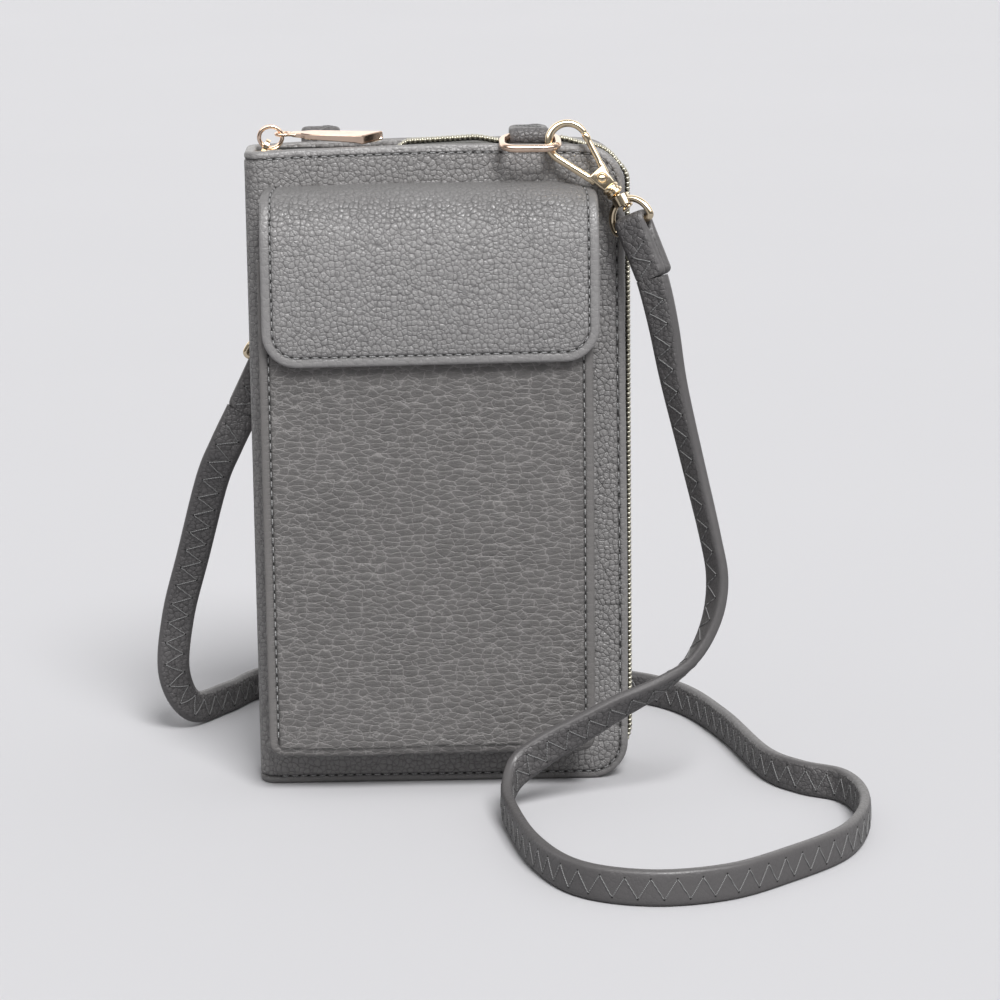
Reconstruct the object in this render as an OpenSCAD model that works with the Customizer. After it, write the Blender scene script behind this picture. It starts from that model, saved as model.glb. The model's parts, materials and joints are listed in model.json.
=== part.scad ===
// Crossbody phone wallet of pebbled leather: a zip-round wallet that stands upright,
// a boxed phone pocket under a magnetic flap on its front, and a shoulder strap on two
// snap hooks. The front faces -Y, +Z is up, and the wallet stands on z = 0.

/* [Wallet] */
// Width of the two covers, from the spine to their free edge
cover_w = 110; // [106:0.5:120]
// Height of the covers
cover_h = 190; // [184:0.5:200]
// Depth of the closed wallet, over both covers
wallet_d = 22; // [21:0.5:26]
// Radius of the cover corners on the zip side
corner_r = 11; // [8:0.5:13]
// Radius of the cover corners at the spine
spine_corner_r = 2; // [1:0.5:4]
// Outer radius of the spine where it turns into a cover
spine_r = 5; // [4:0.5:7]
// Thickness of the outer leather
leather_t = 1.4; // [1:0.1:1.6]
// Thickness of the stiffening boards
board_t = 1.2; // [0.8:0.1:1.4]
// Thickness of the linings
lining_t = 0.6; // [0.4:0.1:0.8]
// Width of the leather turned over each edge
rim_w = 1.3; // [1:0.1:2]

/* [Card pockets] */
// Width of the card pockets
card_w = 86; // [80:1:90]
// Height of the tallest card pocket
card_h = 120; // [90:1:130]
// Step between one card pocket and the next
card_step = 14; // [8:1:16]
// Thickness of one layer of card pocket
card_t = 0.5; // [0.4:0.1:0.7]
// Thickness of the coin pocket
coin_t = 5; // [3:0.5:6]
// Height of the coin pocket
coin_h = 90; // [60:1:110]

/* [Zip] */
// How far the zip stands out beyond the free edge of the covers
zip_proud = 2; // [1.5:0.1:2.5]
// Radius of the zip round the corners
zip_r = 12; // [10:0.5:13]
// Rise of the zip along the top, in degrees
zip_rise = 2.9; // [2:0.1:3.2]
// Depth of the zip under the top edge at its closed end
zip_dip = 3.8; // [3.6:0.1:5]
// Height of the zip's middle along the foot of the wallet
zip_foot = 2.2; // [2:0.1:3]
// Pitch of the teeth
tooth_pitch = 1.45; // [1.4:0.05:1.8]
// Thickness of the teeth
tooth_t = 1.8; // [1.4:0.1:1.8]
// Reach of a tooth from the middle line to the back of its rail
chain_half_w = 2.9; // [2.8:0.1:3]
// Thickness of the zip tape
tape_t = 0.5; // [0.4:0.05:0.6]
// Length of the slider
slider_l = 9; // [8.6:0.2:10]
// Wall of the slider
slider_wall = 1; // [0.9:0.1:1.1]
// Travel of the slider, until its pull meets the right-hand tab
slider_travel = 30; // [10:1:30]

/* [Zip pull] */
// Radius of the pull ring, to the middle of its wire
pull_ring_r = 3.3; // [3.2:0.1:3.6]
// Wire of the pull ring
pull_wire_d = 1.5; // [1.3:0.1:1.5]
// Length of the pull tab beyond its eye
pull_l = 29; // [24:0.5:30]
// Width of the pull tab at its free end
pull_w = 6.6; // [5:0.2:7]
// Thickness of the pull tab at its free end
pull_t = 2.2; // [1.8:0.1:2.4]

/* [Phone pocket] */
// Width of the pocket front
pocket_w = 96; // [90:0.5:97]
// Middle of the pocket, measured from the middle of the wallet
pocket_x = -4.3; // [-5:0.1:-4]
// Depth of the pocket from the cover to the outside of its front
pocket_d = 13; // [12:0.5:15]
// Height of the pocket's foot above the ground
pocket_foot = 12; // [8:0.5:14]
// Depth of the pocket front's top edge below the top of the covers
pocket_mouth_drop = 30; // [28:0.5:36]
// Depth of the top of the pocket sides below the top of the covers
pocket_side_drop = 18; // [17:0.5:22]
// Radius of the lower corners of the pocket
pocket_r = 5; // [4:0.5:6]
// Thickness of the pocket leather
pocket_t = 1.3; // [1:0.1:1.5]
// Width of the sewn flange outside the pocket walls
flange_w = 2.6; // [2:0.1:3]

/* [Flap] */
// Width of the flap
flap_w = 97; // [95:0.5:97.5]
// Middle of the flap, measured from the middle of the wallet
flap_x = -2.8; // [-3:0.1:-2.6]
// Depth of the top of the flap below the top of the covers
flap_drop = 10; // [10:0.5:12]
// Height of the flap from its bottom edge to its top
flap_h = 50.5; // [46:0.5:56]
// Gap between the flap and the pocket front
flap_gap = 0.9; // [0.9:0.1:1.2]
// Radius of the fold at the front of the flap
fold_r = 5; // [4:0.5:6]
// Radius of the flap's lower corners
flap_r = 10; // [8:0.5:13]
// Radius of the flap's upper corners
flap_top_r = 4; // [4:0.5:5]
// Thickness of the flap leather
flap_leather_t = 1.3; // [1:0.1:1.4]
// Thickness of the flap board
flap_board_t = 0.6; // [0.5:0.1:0.8]
// Thickness of the flap lining
flap_lining_t = 0.7; // [0.5:0.1:0.8]
// Diameter of the magnetic snap
snap_d = 14; // [12:0.5:16]
// Height of the middle of the magnetic snap above the flap's bottom edge
snap_rise = 12.5; // [10.5:0.5:16.5]

/* [Tabs and rings] */
// Width of the tabs
tab_w = 11.5; // [10:0.1:12]
// Middle of the left-hand tab
tab_left_x = -34.3; // [-36:0.1:-33]
// Middle of the right-hand tab
tab_right_x = 26.5; // [26:0.1:26.8]
// Thickness of a tab
tab_t = 3; // [2.6:0.1:3.2]
// Outer width of a ring
ring_w = 18; // [17.8:0.1:18.4]
// Outer height of a ring
ring_h = 15; // [14.6:0.1:15.4]
// Wire of a ring
ring_wire_d = 2.3; // [2:0.1:2.3]
// Fall of the right-hand ring towards the front, in degrees
ring_right_fall = 9; // [7:0.5:10]
// Lean of the left-hand ring away from the back, in degrees
ring_left_lean = 15; // [14:0.5:17]

/* [Snap hooks] */
// Radius of the hook's bow, to the middle of its wire
bow_r = 5.5; // [5.4:0.1:5.7]
// Distance from the rivet to the middle of the bow
bow_reach = 14.5; // [14:0.1:15]
// Wire of the hook
hook_wire_d = 2.6; // [2.2:0.1:2.6]
// Thickness of the hook's head
head_t = 4.2; // [3.8:0.1:4.4]
// Radius of the D-ring, to the middle of its wire
eye_r = 6.5; // [6.4:0.1:6.8]
// Wire of the D-ring
eye_wire_d = 2; // [1.8:0.1:2.2]
// Lean of the right-hand hook from upright, in degrees
hook_right_lean = 41.8; // [41:0.2:43]
// Lean of the left-hand hook from upright, in degrees
hook_left_lean = 26; // [24:0.5:27]

/* [Strap] */
// Width of the strap
strap_w = 10; // [8:0.5:10]
// Thickness of the strap
strap_t = 3.4; // [3:0.1:3.6]
// Length of each folded end
strap_end_l = 16; // [14:1:20]

/* [Hidden] */

// Colours of the leather, its dark inside, the metals and the cloth
leather_colour = [0.43, 0.42, 0.42];
strap_colour = [0.36, 0.35, 0.35];
lining_colour = [0.20, 0.20, 0.21];
board_colour = [0.55, 0.50, 0.42];
tape_colour = [0.40, 0.39, 0.37];
teeth_colour = [0.80, 0.77, 0.66];
gold_colour = [0.86, 0.72, 0.50];
rose_colour = [0.86, 0.66, 0.54];

// Faces of round parts, the running clearance between parts and the overrun of a cut
$fn = 48;
fit = 0.1;
cut = 1;

// Where the wallet lies in the frame, which is centred over everything but the strap
half_d = wallet_d / 2;
full_w = cover_w + zip_proud;
spine_x = -full_w / 2;
edge_x = spine_x + cover_w;
flap_t = flap_leather_t + flap_board_t + flap_lining_t;
flap_top = cover_h - flap_drop;
flap_bottom = flap_top - flap_h;
pocket_mouth = cover_h - pocket_mouth_drop;
pocket_side_top = cover_h - pocket_side_drop;
snap_z = flap_bottom + snap_rise;
flap_face = half_d + pocket_d + flap_gap + flap_t;
tab_wrap_r = (ring_wire_d + tab_t + fit) / 2;
tab_bar_y = half_d + tab_wrap_r + 2 * fit;
ring_drop = ring_h - ring_wire_d;
back_reach = tab_bar_y + ring_drop * sin(ring_left_lean) + ring_wire_d / 2;
wallet_y = (flap_face - back_reach) / 2;

// Depths of the layers of a cover, from the middle of the wallet
board_face = half_d - leather_t;
lining_face = board_face - board_t;
inner_face = lining_face - lining_t;

module in_frame() {
  translate([0, wallet_y, 0]) children();
}

// The front of a piece is at a negative depth: side is -1 at the front and 1 at the back
module at_side(side) {
  if (side < 0) children();
  else mirror([0, 1, 0]) children();
}

// A plate that faces the front: its outline is drawn in X and Z, and it fills the depths
// from near to far, both measured forward from the middle of the wallet
module plate(near, far) {
  translate([0, -near, 0]) rotate([90, 0, 0]) linear_extrude(far - near) children();
}

// A profile drawn in depth and height, run along X about the middle x
module run_along_x(x, length) {
  translate([x - length / 2, 0, 0]) rotate([90, 0, 90]) linear_extrude(length) children();
}

module corner_cut(x, z, turn, r) {
  translate([x, z]) rotate(turn)
    difference() {
      translate([-cut, -cut]) square([r + cut, r + cut]);
      translate([r, r]) circle(r);
    }
}

// A rectangle with a radius for each corner: bottom left, bottom right, top right, top left
module panel(left, low, right, high, radii) {
  difference() {
    translate([left, low]) square([right - left, high - low]);
    corner_cut(left, low, 0, radii[0]);
    corner_cut(right, low, 90, radii[1]);
    corner_cut(right, high, 180, radii[2]);
    corner_cut(left, high, 270, radii[3]);
  }
}

module cover_outline(inset) {
  r = corner_r - inset;
  s = max(spine_corner_r - inset, fit);
  panel(spine_x + inset, inset, edge_x - inset, cover_h - inset, [s, r, r, s]);
}

// Wallet body

module cover_section() {
  difference() {
    panel(spine_x, -half_d, edge_x, half_d, [spine_r, fit, fit, spine_r]);
    panel(spine_x + leather_t, -board_face, edge_x + cut, board_face,
          [spine_r - leather_t, fit, fit, spine_r - leather_t]);
  }
}

module turned_edge(side) {
  at_side(side)
    difference() {
      plate(inner_face, board_face) cover_outline(0);
      plate(inner_face - cut, board_face + cut) cover_outline(rim_w);
      translate([spine_x - cut, -half_d - cut, -cut])
        cube([spine_r + cut, half_d + cut, cover_h + 2 * cut]);
    }
}

module tab_slot(x) {
  translate([x - tab_w / 2 - fit, lining_face - fit, cover_h - tab_tail - fit])
    cube([tab_w + 2 * fit, board_t + 2 * fit, tab_tail + cut]);
}

module outer_cover() {
  color(leather_colour) in_frame()
    difference() {
      union() {
        intersection() {
          linear_extrude(cover_h) cover_section();
          plate(-half_d, half_d) cover_outline(0);
        }
        turned_edge(-1);
        turned_edge(1);
      }
      tab_slot(tab_left_x);
      tab_slot(tab_right_x);
    }
}

module cover_sheet(near, far) {
  plate(near, far)
    intersection() {
      cover_outline(rim_w + fit);
      translate([spine_x + spine_r, 0]) square([cover_w, cover_h]);
    }
}

module front_board() {
  color(board_colour) in_frame() cover_sheet(lining_face, board_face);
}

module back_board() {
  color(board_colour) in_frame()
    difference() {
      at_side(1) cover_sheet(lining_face, board_face);
      tab_slot(tab_left_x);
      tab_slot(tab_right_x);
    }
}

module front_lining() {
  color(lining_colour) in_frame() cover_sheet(inner_face, lining_face);
}

module back_lining() {
  color(lining_colour) in_frame() at_side(1) cover_sheet(inner_face, lining_face);
}

spine_gap = 5;
spine_low = zip_foot + spine_gap;
spine_high = cover_h - zip_dip - spine_gap;

module spine_lining() {
  color(lining_colour) in_frame()
    translate([spine_x + leather_t, spine_r - half_d, spine_low])
      cube([lining_t, 2 * (half_d - spine_r), spine_high - spine_low]);
}

// Card pockets, stepped so that each shows above the one before it

card_left = spine_x + (cover_w - card_w) / 2;
card_foot = 16;
card_layers = 4;

module card_slots(side) {
  at_side(side)
    for (i = [0 : card_layers - 1])
      translate([card_left, -inner_face + i * card_t, card_foot])
        cube([card_w, card_t, card_h - i * card_step]);
}

module card_slots_front() {
  color(lining_colour) in_frame() card_slots(-1);
}

module card_slots_back() {
  color(lining_colour) in_frame() card_slots(1);
}

card_face = inner_face - card_layers * card_t;
coin_lip = 4;

module coin_pocket() {
  top = min(coin_h, card_h - card_layers * card_step);
  color(lining_colour) in_frame()
    difference() {
      translate([card_left, card_face - coin_t, card_foot]) cube([card_w, coin_t, top]);
      translate([card_left + coin_lip, card_face - coin_t + lining_t, card_foot + coin_lip])
        cube([card_w - 2 * coin_lip, coin_t - 2 * lining_t, top]);
    }
}

// Zip. Its middle line climbs along the top, turns the corner and runs down the free
// edge and back along the foot. A section is drawn with x outward from the line.

slider_gap = 0.3;
zip_x = edge_x + zip_proud - tooth_t / 2;
turn_x = zip_x - zip_r;
slider_x = spine_x + leather_t + slider_gap + slider_l / 2;
slider_z = cover_h - zip_dip;
turn_z = slider_z + (turn_x - slider_x) * tan(zip_rise) - zip_r / cos(zip_rise);
foot_turn_z = zip_foot + zip_r;
climb_l = (turn_x - slider_x) / cos(zip_rise) - zip_r * tan(zip_rise);
side_l = turn_z - foot_turn_z;
foot_start = 2;
foot_x = spine_x + leather_t + lining_t + foot_start;
foot_l = turn_x - foot_x;

module on_top() {
  translate([turn_x, 0, turn_z]) rotate([0, -zip_rise, 0]) children();
}

module on_climb() {
  on_top() translate([0, 0, zip_r]) rotate([0, -90, 0]) children();
}

module on_side() {
  translate([zip_x, 0, foot_turn_z]) children();
}

module on_foot() {
  translate([foot_x, 0, zip_foot]) rotate([0, 90, 0]) children();
}

module on_upper_turn() {
  on_top() rotate([-90, 0, 0]) rotate(-90) children();
}

module on_lower_turn() {
  translate([turn_x, 0, foot_turn_z]) rotate([-90, 0, 0]) children();
}

// Round the corners a slightly smaller section is swept about the middle of the turn, and
// it runs on a little into the next straight run, so that the runs hold together
turn_inset = 0.02;
turn_lap = 0.5;

module along_zip(climb) {
  on_climb() linear_extrude(climb) children(0);
  on_upper_turn() rotate_extrude(angle = 90 + zip_rise + turn_lap)
    translate([zip_r, 0]) children(1);
  on_side() linear_extrude(side_l) children(0);
  on_lower_turn() rotate_extrude(angle = 90 + turn_lap) translate([zip_r, 0]) children(1);
  on_foot() linear_extrude(foot_l) children(0);
}

tape_gap = 0.8;
tape_flat = 4.9;
tape_top = -tooth_t / 2;
tape_drop = 2.3;
tape_sewn_top = tape_top - tape_drop;
tape_sewn_w = 3.3;

module tape_section(inset) {
  top = tape_top - inset;
  under = tape_top - tape_t + inset;
  sewn = inset - inner_face;
  sewn_under = tape_t - inner_face - inset;
  hem = tape_sewn_top - tape_sewn_w + inset;
  polygon([
    [top, -tape_gap - inset], [top, -tape_flat], [tape_sewn_top, sewn], [hem, sewn],
    [hem, sewn_under], [tape_sewn_top - tape_t, sewn_under], [under, tape_t - tape_flat],
    [under, -tape_gap - inset]
  ]);
}

stop_seat = 0.6;
tape_climb = climb_l + slider_l / 2 - stop_seat;

module zip_tape_front() {
  color(tape_colour) in_frame()
    along_zip(tape_climb) {
      tape_section(0);
      tape_section(turn_inset);
    }
}

module zip_tape_back() {
  color(tape_colour) in_frame()
    along_zip(tape_climb) {
      mirror([0, 1]) tape_section(0);
      mirror([0, 1]) tape_section(turn_inset);
    }
}

// One side's teeth stand on a rail. A straight run is a comb drawn once.

rail_in = 1.3;
tooth_reach = 0.9;
tooth_half_share = 0.21;
teeth_from = -1.2;

module comb(length, phase) {
  count = floor(length / tooth_pitch);
  pitch = length / count;
  half_tooth = tooth_half_share * pitch;
  tips = [
    for (i = [count - 1 : -1 : 0])
      let (at = (i + phase) * pitch)
        each [[at + half_tooth, -rail_in], [at + half_tooth, tooth_reach],
              [at - half_tooth, tooth_reach], [at - half_tooth, -rail_in]]
  ];
  rotate([0, -90, 0]) linear_extrude(tooth_t, center = true)
    polygon(concat(
      [[0, -rail_in], [0, -chain_half_w], [length, -chain_half_w], [length, -rail_in]], tips));
}

module bent_comb(angle, phase) {
  count = floor(zip_r * angle * PI / 180 / tooth_pitch);
  wide = 2 * tooth_half_share * zip_r * angle * PI / 180 / count;
  rotate_extrude(angle = angle + turn_lap)
    translate([zip_r - tooth_t / 2 + turn_inset, turn_inset - chain_half_w])
      square([tooth_t - 2 * turn_inset, chain_half_w - rail_in - 2 * turn_inset]);
  for (i = [0 : count - 1])
    rotate((i + phase) * angle / count)
      translate([zip_r - tooth_t / 2, -wide / 2, -rail_in - fit])
        cube([tooth_t, wide, rail_in + fit + tooth_reach]);
}

module teeth(phase) {
  on_climb() comb(climb_l + teeth_from, phase);
  on_upper_turn() bent_comb(90 + zip_rise, phase);
  on_side() comb(side_l, phase);
  on_lower_turn() bent_comb(90, phase);
  on_foot() comb(foot_l, phase);
}

front_phase_share = 0.25;
back_phase_share = 0.75;

module zip_teeth_front() {
  color(teeth_colour) in_frame() teeth(front_phase_share);
}

module zip_teeth_back() {
  color(teeth_colour) in_frame()
    union() {
      on_climb() mirror([0, 1, 0]) comb(climb_l + teeth_from, back_phase_share);
      on_upper_turn() mirror([0, 0, 1]) bent_comb(90 + zip_rise, back_phase_share);
      on_side() mirror([0, 1, 0]) comb(side_l, back_phase_share);
      on_lower_turn() mirror([0, 0, 1]) bent_comb(90, back_phase_share);
      on_foot() mirror([0, 1, 0]) comb(foot_l, back_phase_share);
    }
}

// The slider's own frame: x along the climb, z outward, on the middle line at the slider
module on_slider() {
  translate([slider_x, 0, slider_z]) rotate([0, -zip_rise, 0]) children();
}

stop_l = 1;
stop_w = 2;
stop_gap = 1.2;

module zip_stops() {
  color(gold_colour) in_frame() {
    for (y = [stop_gap, -stop_gap - stop_w])
      on_slider() translate([stop_seat - slider_l / 2 - fit, y, tape_top])
        cube([stop_l, stop_w, tooth_t]);
    translate([foot_x - stop_l - fit, -chain_half_w, zip_foot - tooth_t / 2])
      cube([stop_l, 2 * chain_half_w, tooth_t]);
  }
}

// Slider: an upper and a lower plate joined by a wedge between the two sides of the zip

slider_run = 0.25;
slider_side_run = 0.15;
slider_nose = 1.4;
slider_tail = 1;
slider_taper = 0.7;
slider_half_w = chain_half_w + slider_run + slider_wall;
slider_tail_half_w = slider_half_w - slider_taper;
slider_top = tooth_t / 2 + slider_run;
slider_floor = tape_top - tape_t - slider_run;
slider_lip = tape_top + slider_run;
wedge_half_w = 0.65;
wedge_start = 0.6;
wedge_l = 2.4;
lug_hole_d = 2.4;
lug_r = 2.3;
lug_t = 1.3;
lug_lean = 30;
lug_rise = 1.45;
lug_z = slider_top + slider_wall + lug_rise;

module slider_outline() {
  polygon([
    [-slider_l / 2, slider_nose - slider_half_w], [slider_nose - slider_l / 2, -slider_half_w],
    [0, -slider_half_w], [slider_l / 2 - slider_tail, -slider_tail_half_w],
    [slider_l / 2, slider_tail - slider_tail_half_w],
    [slider_l / 2, slider_tail_half_w - slider_tail],
    [slider_l / 2 - slider_tail, slider_tail_half_w],
    [0, slider_half_w], [slider_nose - slider_l / 2, slider_half_w],
    [-slider_l / 2, slider_half_w - slider_nose]
  ]);
}

module zip_slider() {
  channel = slider_tail_half_w - slider_side_run;
  color(gold_colour) in_frame() on_slider()
    difference() {
      union() {
        difference() {
          translate([0, 0, slider_lip])
            linear_extrude(slider_top + slider_wall - slider_lip) slider_outline();
          translate([-slider_l / 2 - cut, -channel, slider_lip - cut])
            cube([slider_l + 2 * cut, 2 * channel, slider_top - slider_lip + cut]);
        }
        translate([0, 0, slider_floor - slider_wall])
          linear_extrude(slider_wall) slider_outline();
        translate([wedge_start - slider_l / 2, -wedge_half_w, slider_floor - slider_wall / 2])
          cube([wedge_l, 2 * wedge_half_w, slider_top - slider_floor + slider_wall]);
        translate([0, 0, lug_z]) rotate([0, 90 + lug_lean, 0])
          cylinder(r = lug_r, h = lug_t, center = true);
      }
      translate([0, 0, lug_z]) rotate([0, 90 + lug_lean, 0])
        cylinder(d = lug_hole_d, h = lug_t + 2 * cut, center = true);
    }
}

// The pull ring passes through the lug, and its own frame has the ring in X and Z

module on_pull_ring() {
  on_slider() translate([pull_ring_r * sin(lug_lean), 0, lug_z + pull_ring_r * cos(lug_lean)])
    children();
}

module torus(r, wire_d) {
  rotate_extrude() translate([r, 0]) circle(d = wire_d);
}

module pull_ring() {
  color(gold_colour) in_frame() on_pull_ring()
    rotate([90, 0, 0]) torus(pull_ring_r, pull_wire_d);
}

pull_eye_turn = 10;
pull_eye_hole_d = 2.8;
pull_eye_d = 4.8;
pull_eye_t = 1.4;
pull_neck_w = 3.4;
pull_neck_l = 6;
pull_root_l = 4;
pull_shoulder_l = 9;
pull_taper = 0.6;
pull_slot_depth = 0.3;
pull_slot_l_share = 0.16;
pull_slot_w_share = 0.16;
pull_pitch = 5.5;
pull_yaw = -8;
pull_roll = 10;

module on_pull_tab() {
  on_pull_ring()
    translate([pull_ring_r * cos(pull_eye_turn), 0, pull_ring_r * sin(pull_eye_turn)])
      rotate([0, pull_pitch, pull_yaw]) rotate([pull_roll, 0, 0]) children();
}

module pull_tab() {
  slot_l = pull_slot_l_share * pull_l;
  slot_w = pull_slot_w_share * pull_w;
  color(gold_colour) in_frame() on_pull_tab()
    difference() {
      union() {
        cylinder(d = pull_eye_d, h = pull_eye_t, center = true);
        translate([0, -pull_neck_w / 2, -pull_eye_t / 2])
          cube([pull_neck_l, pull_neck_w, pull_eye_t]);
        rotate([90, 0, 0]) linear_extrude(pull_neck_w, center = true)
          polygon([[pull_root_l, -pull_eye_t / 2], [pull_l, pull_eye_t / 2 - pull_t],
                   [pull_l, pull_eye_t / 2], [pull_root_l, pull_eye_t / 2]]);
        intersection() {
          rotate([90, 0, 0]) linear_extrude(pull_w, center = true)
            polygon([[pull_neck_l, -pull_eye_t / 2], [pull_l, pull_eye_t / 2 - pull_t],
                     [pull_l, pull_eye_t / 2], [pull_neck_l, pull_eye_t / 2]]);
          translate([0, 0, -pull_t]) linear_extrude(2 * pull_t)
            polygon([[pull_neck_l, -pull_neck_w / 2],
                     [pull_shoulder_l, pull_taper - pull_w / 2],
                     [pull_l, -pull_w / 2], [pull_l, pull_w / 2],
                     [pull_shoulder_l, pull_w / 2 - pull_taper],
                     [pull_neck_l, pull_neck_w / 2]]);
        }
      }
      cylinder(d = pull_eye_hole_d, h = pull_t + cut, center = true);
      translate([pull_l - slot_l, -slot_w / 2, pull_eye_t / 2 - pull_slot_depth])
        cube([slot_l / 2, slot_w, cut]);
    }
}

// Phone pocket

pocket_left = pocket_x - pocket_w / 2;
pocket_right = pocket_x + pocket_w / 2;
pocket_face = half_d + pocket_d;
gusset_t = 1.2;
back_flange_w = 4;
pocket_inner_r = 1;

module pocket_outline(inset, top) {
  r = max(pocket_r - inset, pocket_inner_r);
  panel(pocket_left + inset, pocket_foot + inset, pocket_right - inset, top, [r, r, fit, fit]);
}

stud_d = 4;

module stud_hole(near, far) {
  plate(near, far) translate([pocket_x, snap_z]) circle(d = stud_d + 2 * fit);
}

module pocket_front() {
  color(leather_colour) in_frame()
    difference() {
      plate(pocket_face - pocket_t, pocket_face) pocket_outline(0, pocket_mouth);
      stud_hole(pocket_face - pocket_t - cut, pocket_face + cut);
    }
}

module pocket_gusset() {
  front = pocket_face - pocket_t;
  color(leather_colour) in_frame()
    difference() {
      union() {
        plate(half_d, front) pocket_outline(flange_w, pocket_side_top);
        plate(front - gusset_t, front) pocket_outline(0, pocket_mouth);
      }
      plate(half_d + gusset_t, front + cut)
        pocket_outline(flange_w + gusset_t, pocket_side_top + cut);
      plate(half_d - cut, half_d + gusset_t + cut)
        pocket_outline(flange_w + gusset_t + back_flange_w, pocket_side_top + cut);
      translate([0, 0, pocket_mouth]) plate(front - gusset_t, front + cut)
        translate([pocket_left - cut, 0]) square([pocket_w + 2 * cut, cover_h]);
    }
}

module pocket_lining() {
  back = pocket_face - pocket_t - lining_t;
  color(lining_colour) in_frame()
    difference() {
      plate(back, pocket_face - pocket_t)
        pocket_outline(flange_w + gusset_t + fit, pocket_mouth);
      stud_hole(back - cut, pocket_face);
    }
}

module pocket_back_lining() {
  color(lining_colour) in_frame()
    plate(half_d, half_d + lining_t)
      pocket_outline(flange_w + gusset_t + back_flange_w + fit, pocket_side_top);
}

// Magnetic snap: a cap on each side of the gap, each on a stud with a washer behind

snap_proud = (flap_gap - fit) / 2;
washer_t = 0.6;
washer_d = 10;

module disc(near, far, d) {
  plate(near, far) translate([pocket_x, snap_z]) circle(d = d);
}

module pocket_magnet() {
  color(gold_colour) in_frame() {
    disc(pocket_face, pocket_face + snap_proud, snap_d);
    disc(pocket_face - pocket_t - lining_t - washer_t, pocket_face, stud_d);
  }
}

module flap_magnet() {
  inside = pocket_face + flap_gap;
  color(gold_colour) in_frame() {
    disc(inside - snap_proud, inside, snap_d);
    disc(inside, inside + flap_lining_t + flap_board_t, stud_d);
  }
}

module snap_washers() {
  back = pocket_face - pocket_t - lining_t;
  color(gold_colour) in_frame()
    difference() {
      disc(back - washer_t, back, washer_d);
      disc(back - washer_t - cut, back + cut, stud_d + 2 * fit);
    }
}

// Flap. The shoulder is sewn to the cover and ends where the flap folds; the front of
// the flap lifts about that line.

flap_left = flap_x - flap_w / 2;
flap_right = flap_x + flap_w / 2;
fold_z = flap_top - fold_r;
shoulder_flange = 5;

module flap_outline(inset) {
  panel(flap_left + inset, flap_bottom + inset, flap_right - inset, flap_top,
        [flap_r - inset, flap_r - inset, flap_top_r, flap_top_r]);
}

// Profile of the shoulder between two depths under its outer face, in depth and height
module shoulder_profile(outer, inner) {
  back = -half_d;
  top = flap_top - outer;
  bottom = flap_top - inner;
  translate([-flap_face + fold_r, bottom]) square([flap_face - fold_r - half_d, top - bottom]);
  translate([-flap_face + fold_r, fold_z])
    difference() {
      circle(fold_r - outer);
      circle(fold_r - inner);
      translate([0, -fold_r - cut]) square(2 * (fold_r + cut));
      translate([-fold_r - cut, -2 * (fold_r + cut)]) square(2 * (fold_r + cut));
    }
}

module flap_shoulder() {
  color(leather_colour) in_frame()
    intersection() {
      union() {
        run_along_x(flap_x, flap_w) shoulder_profile(0, flap_leather_t);
        translate([flap_left, -half_d - flap_leather_t, flap_top - flap_t - shoulder_flange])
          cube([flap_w, flap_leather_t, flap_t + shoulder_flange - flap_leather_t]);
      }
      plate(0, flap_face + cut) flap_outline(0);
    }
}

module flap_shoulder_lining() {
  color(lining_colour) in_frame()
    intersection() {
      difference() {
        run_along_x(flap_x, flap_w) shoulder_profile(flap_leather_t, flap_t);
        translate([flap_left - cut, -half_d - flap_leather_t, 0])
          cube([flap_w + 2 * cut, flap_leather_t + cut, cover_h]);
      }
      plate(0, flap_face + cut) flap_outline(0);
    }
}

fold_gap = 0.2;

module flap_sheet(near, far, inset) {
  plate(near, far)
    intersection() {
      flap_outline(inset);
      translate([flap_left, 0]) square([flap_w, fold_z - fold_gap]);
    }
}

flap_rim_w = 1.2;

module flap_outer() {
  color(leather_colour) in_frame()
    difference() {
      flap_sheet(flap_face - flap_t, flap_face, 0);
      flap_sheet(flap_face - flap_t - cut, flap_face - flap_leather_t, flap_rim_w);
    }
}

module flap_board() {
  near = flap_face - flap_leather_t - flap_board_t;
  color(board_colour) in_frame()
    difference() {
      flap_sheet(near, near + flap_board_t, flap_rim_w + fit);
      stud_hole(near - cut, near + flap_board_t + cut);
    }
}

module flap_lining() {
  color(lining_colour) in_frame()
    difference() {
      flap_sheet(flap_face - flap_t, flap_face - flap_t + flap_lining_t, flap_rim_w + fit);
      stud_hole(flap_face - flap_t - cut, flap_face);
    }
}

// Tabs and rings

tab_tail = 9;
tab_bar_drop = 0.7;
tab_right_bar_y = -6;
tab_right_lift = 1.6;
tab_left_drop = 25;
tab_left_bar_z = cover_h - tab_left_drop;

// Band from the slot in the back cover up and over, with its loop round the ring's bar
module tab_right_profile() {
  low = cover_h + tab_right_lift;
  neck_y = board_face - tab_t;
  bar = [tab_right_bar_y, low + tab_t / 2 - tab_bar_drop];
  difference() {
    union() {
      translate([lining_face, cover_h - tab_tail])
        square([board_t, tab_tail + tab_right_lift + fit]);
      intersection() {
        translate([neck_y, low]) circle(tab_t);
        translate([neck_y, low]) square(tab_t);
      }
      translate([tab_right_bar_y, low]) square([neck_y - tab_right_bar_y, tab_t]);
      translate(bar) circle(tab_wrap_r);
    }
    translate(bar) circle(ring_wire_d / 2 + fit);
  }
}

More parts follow.
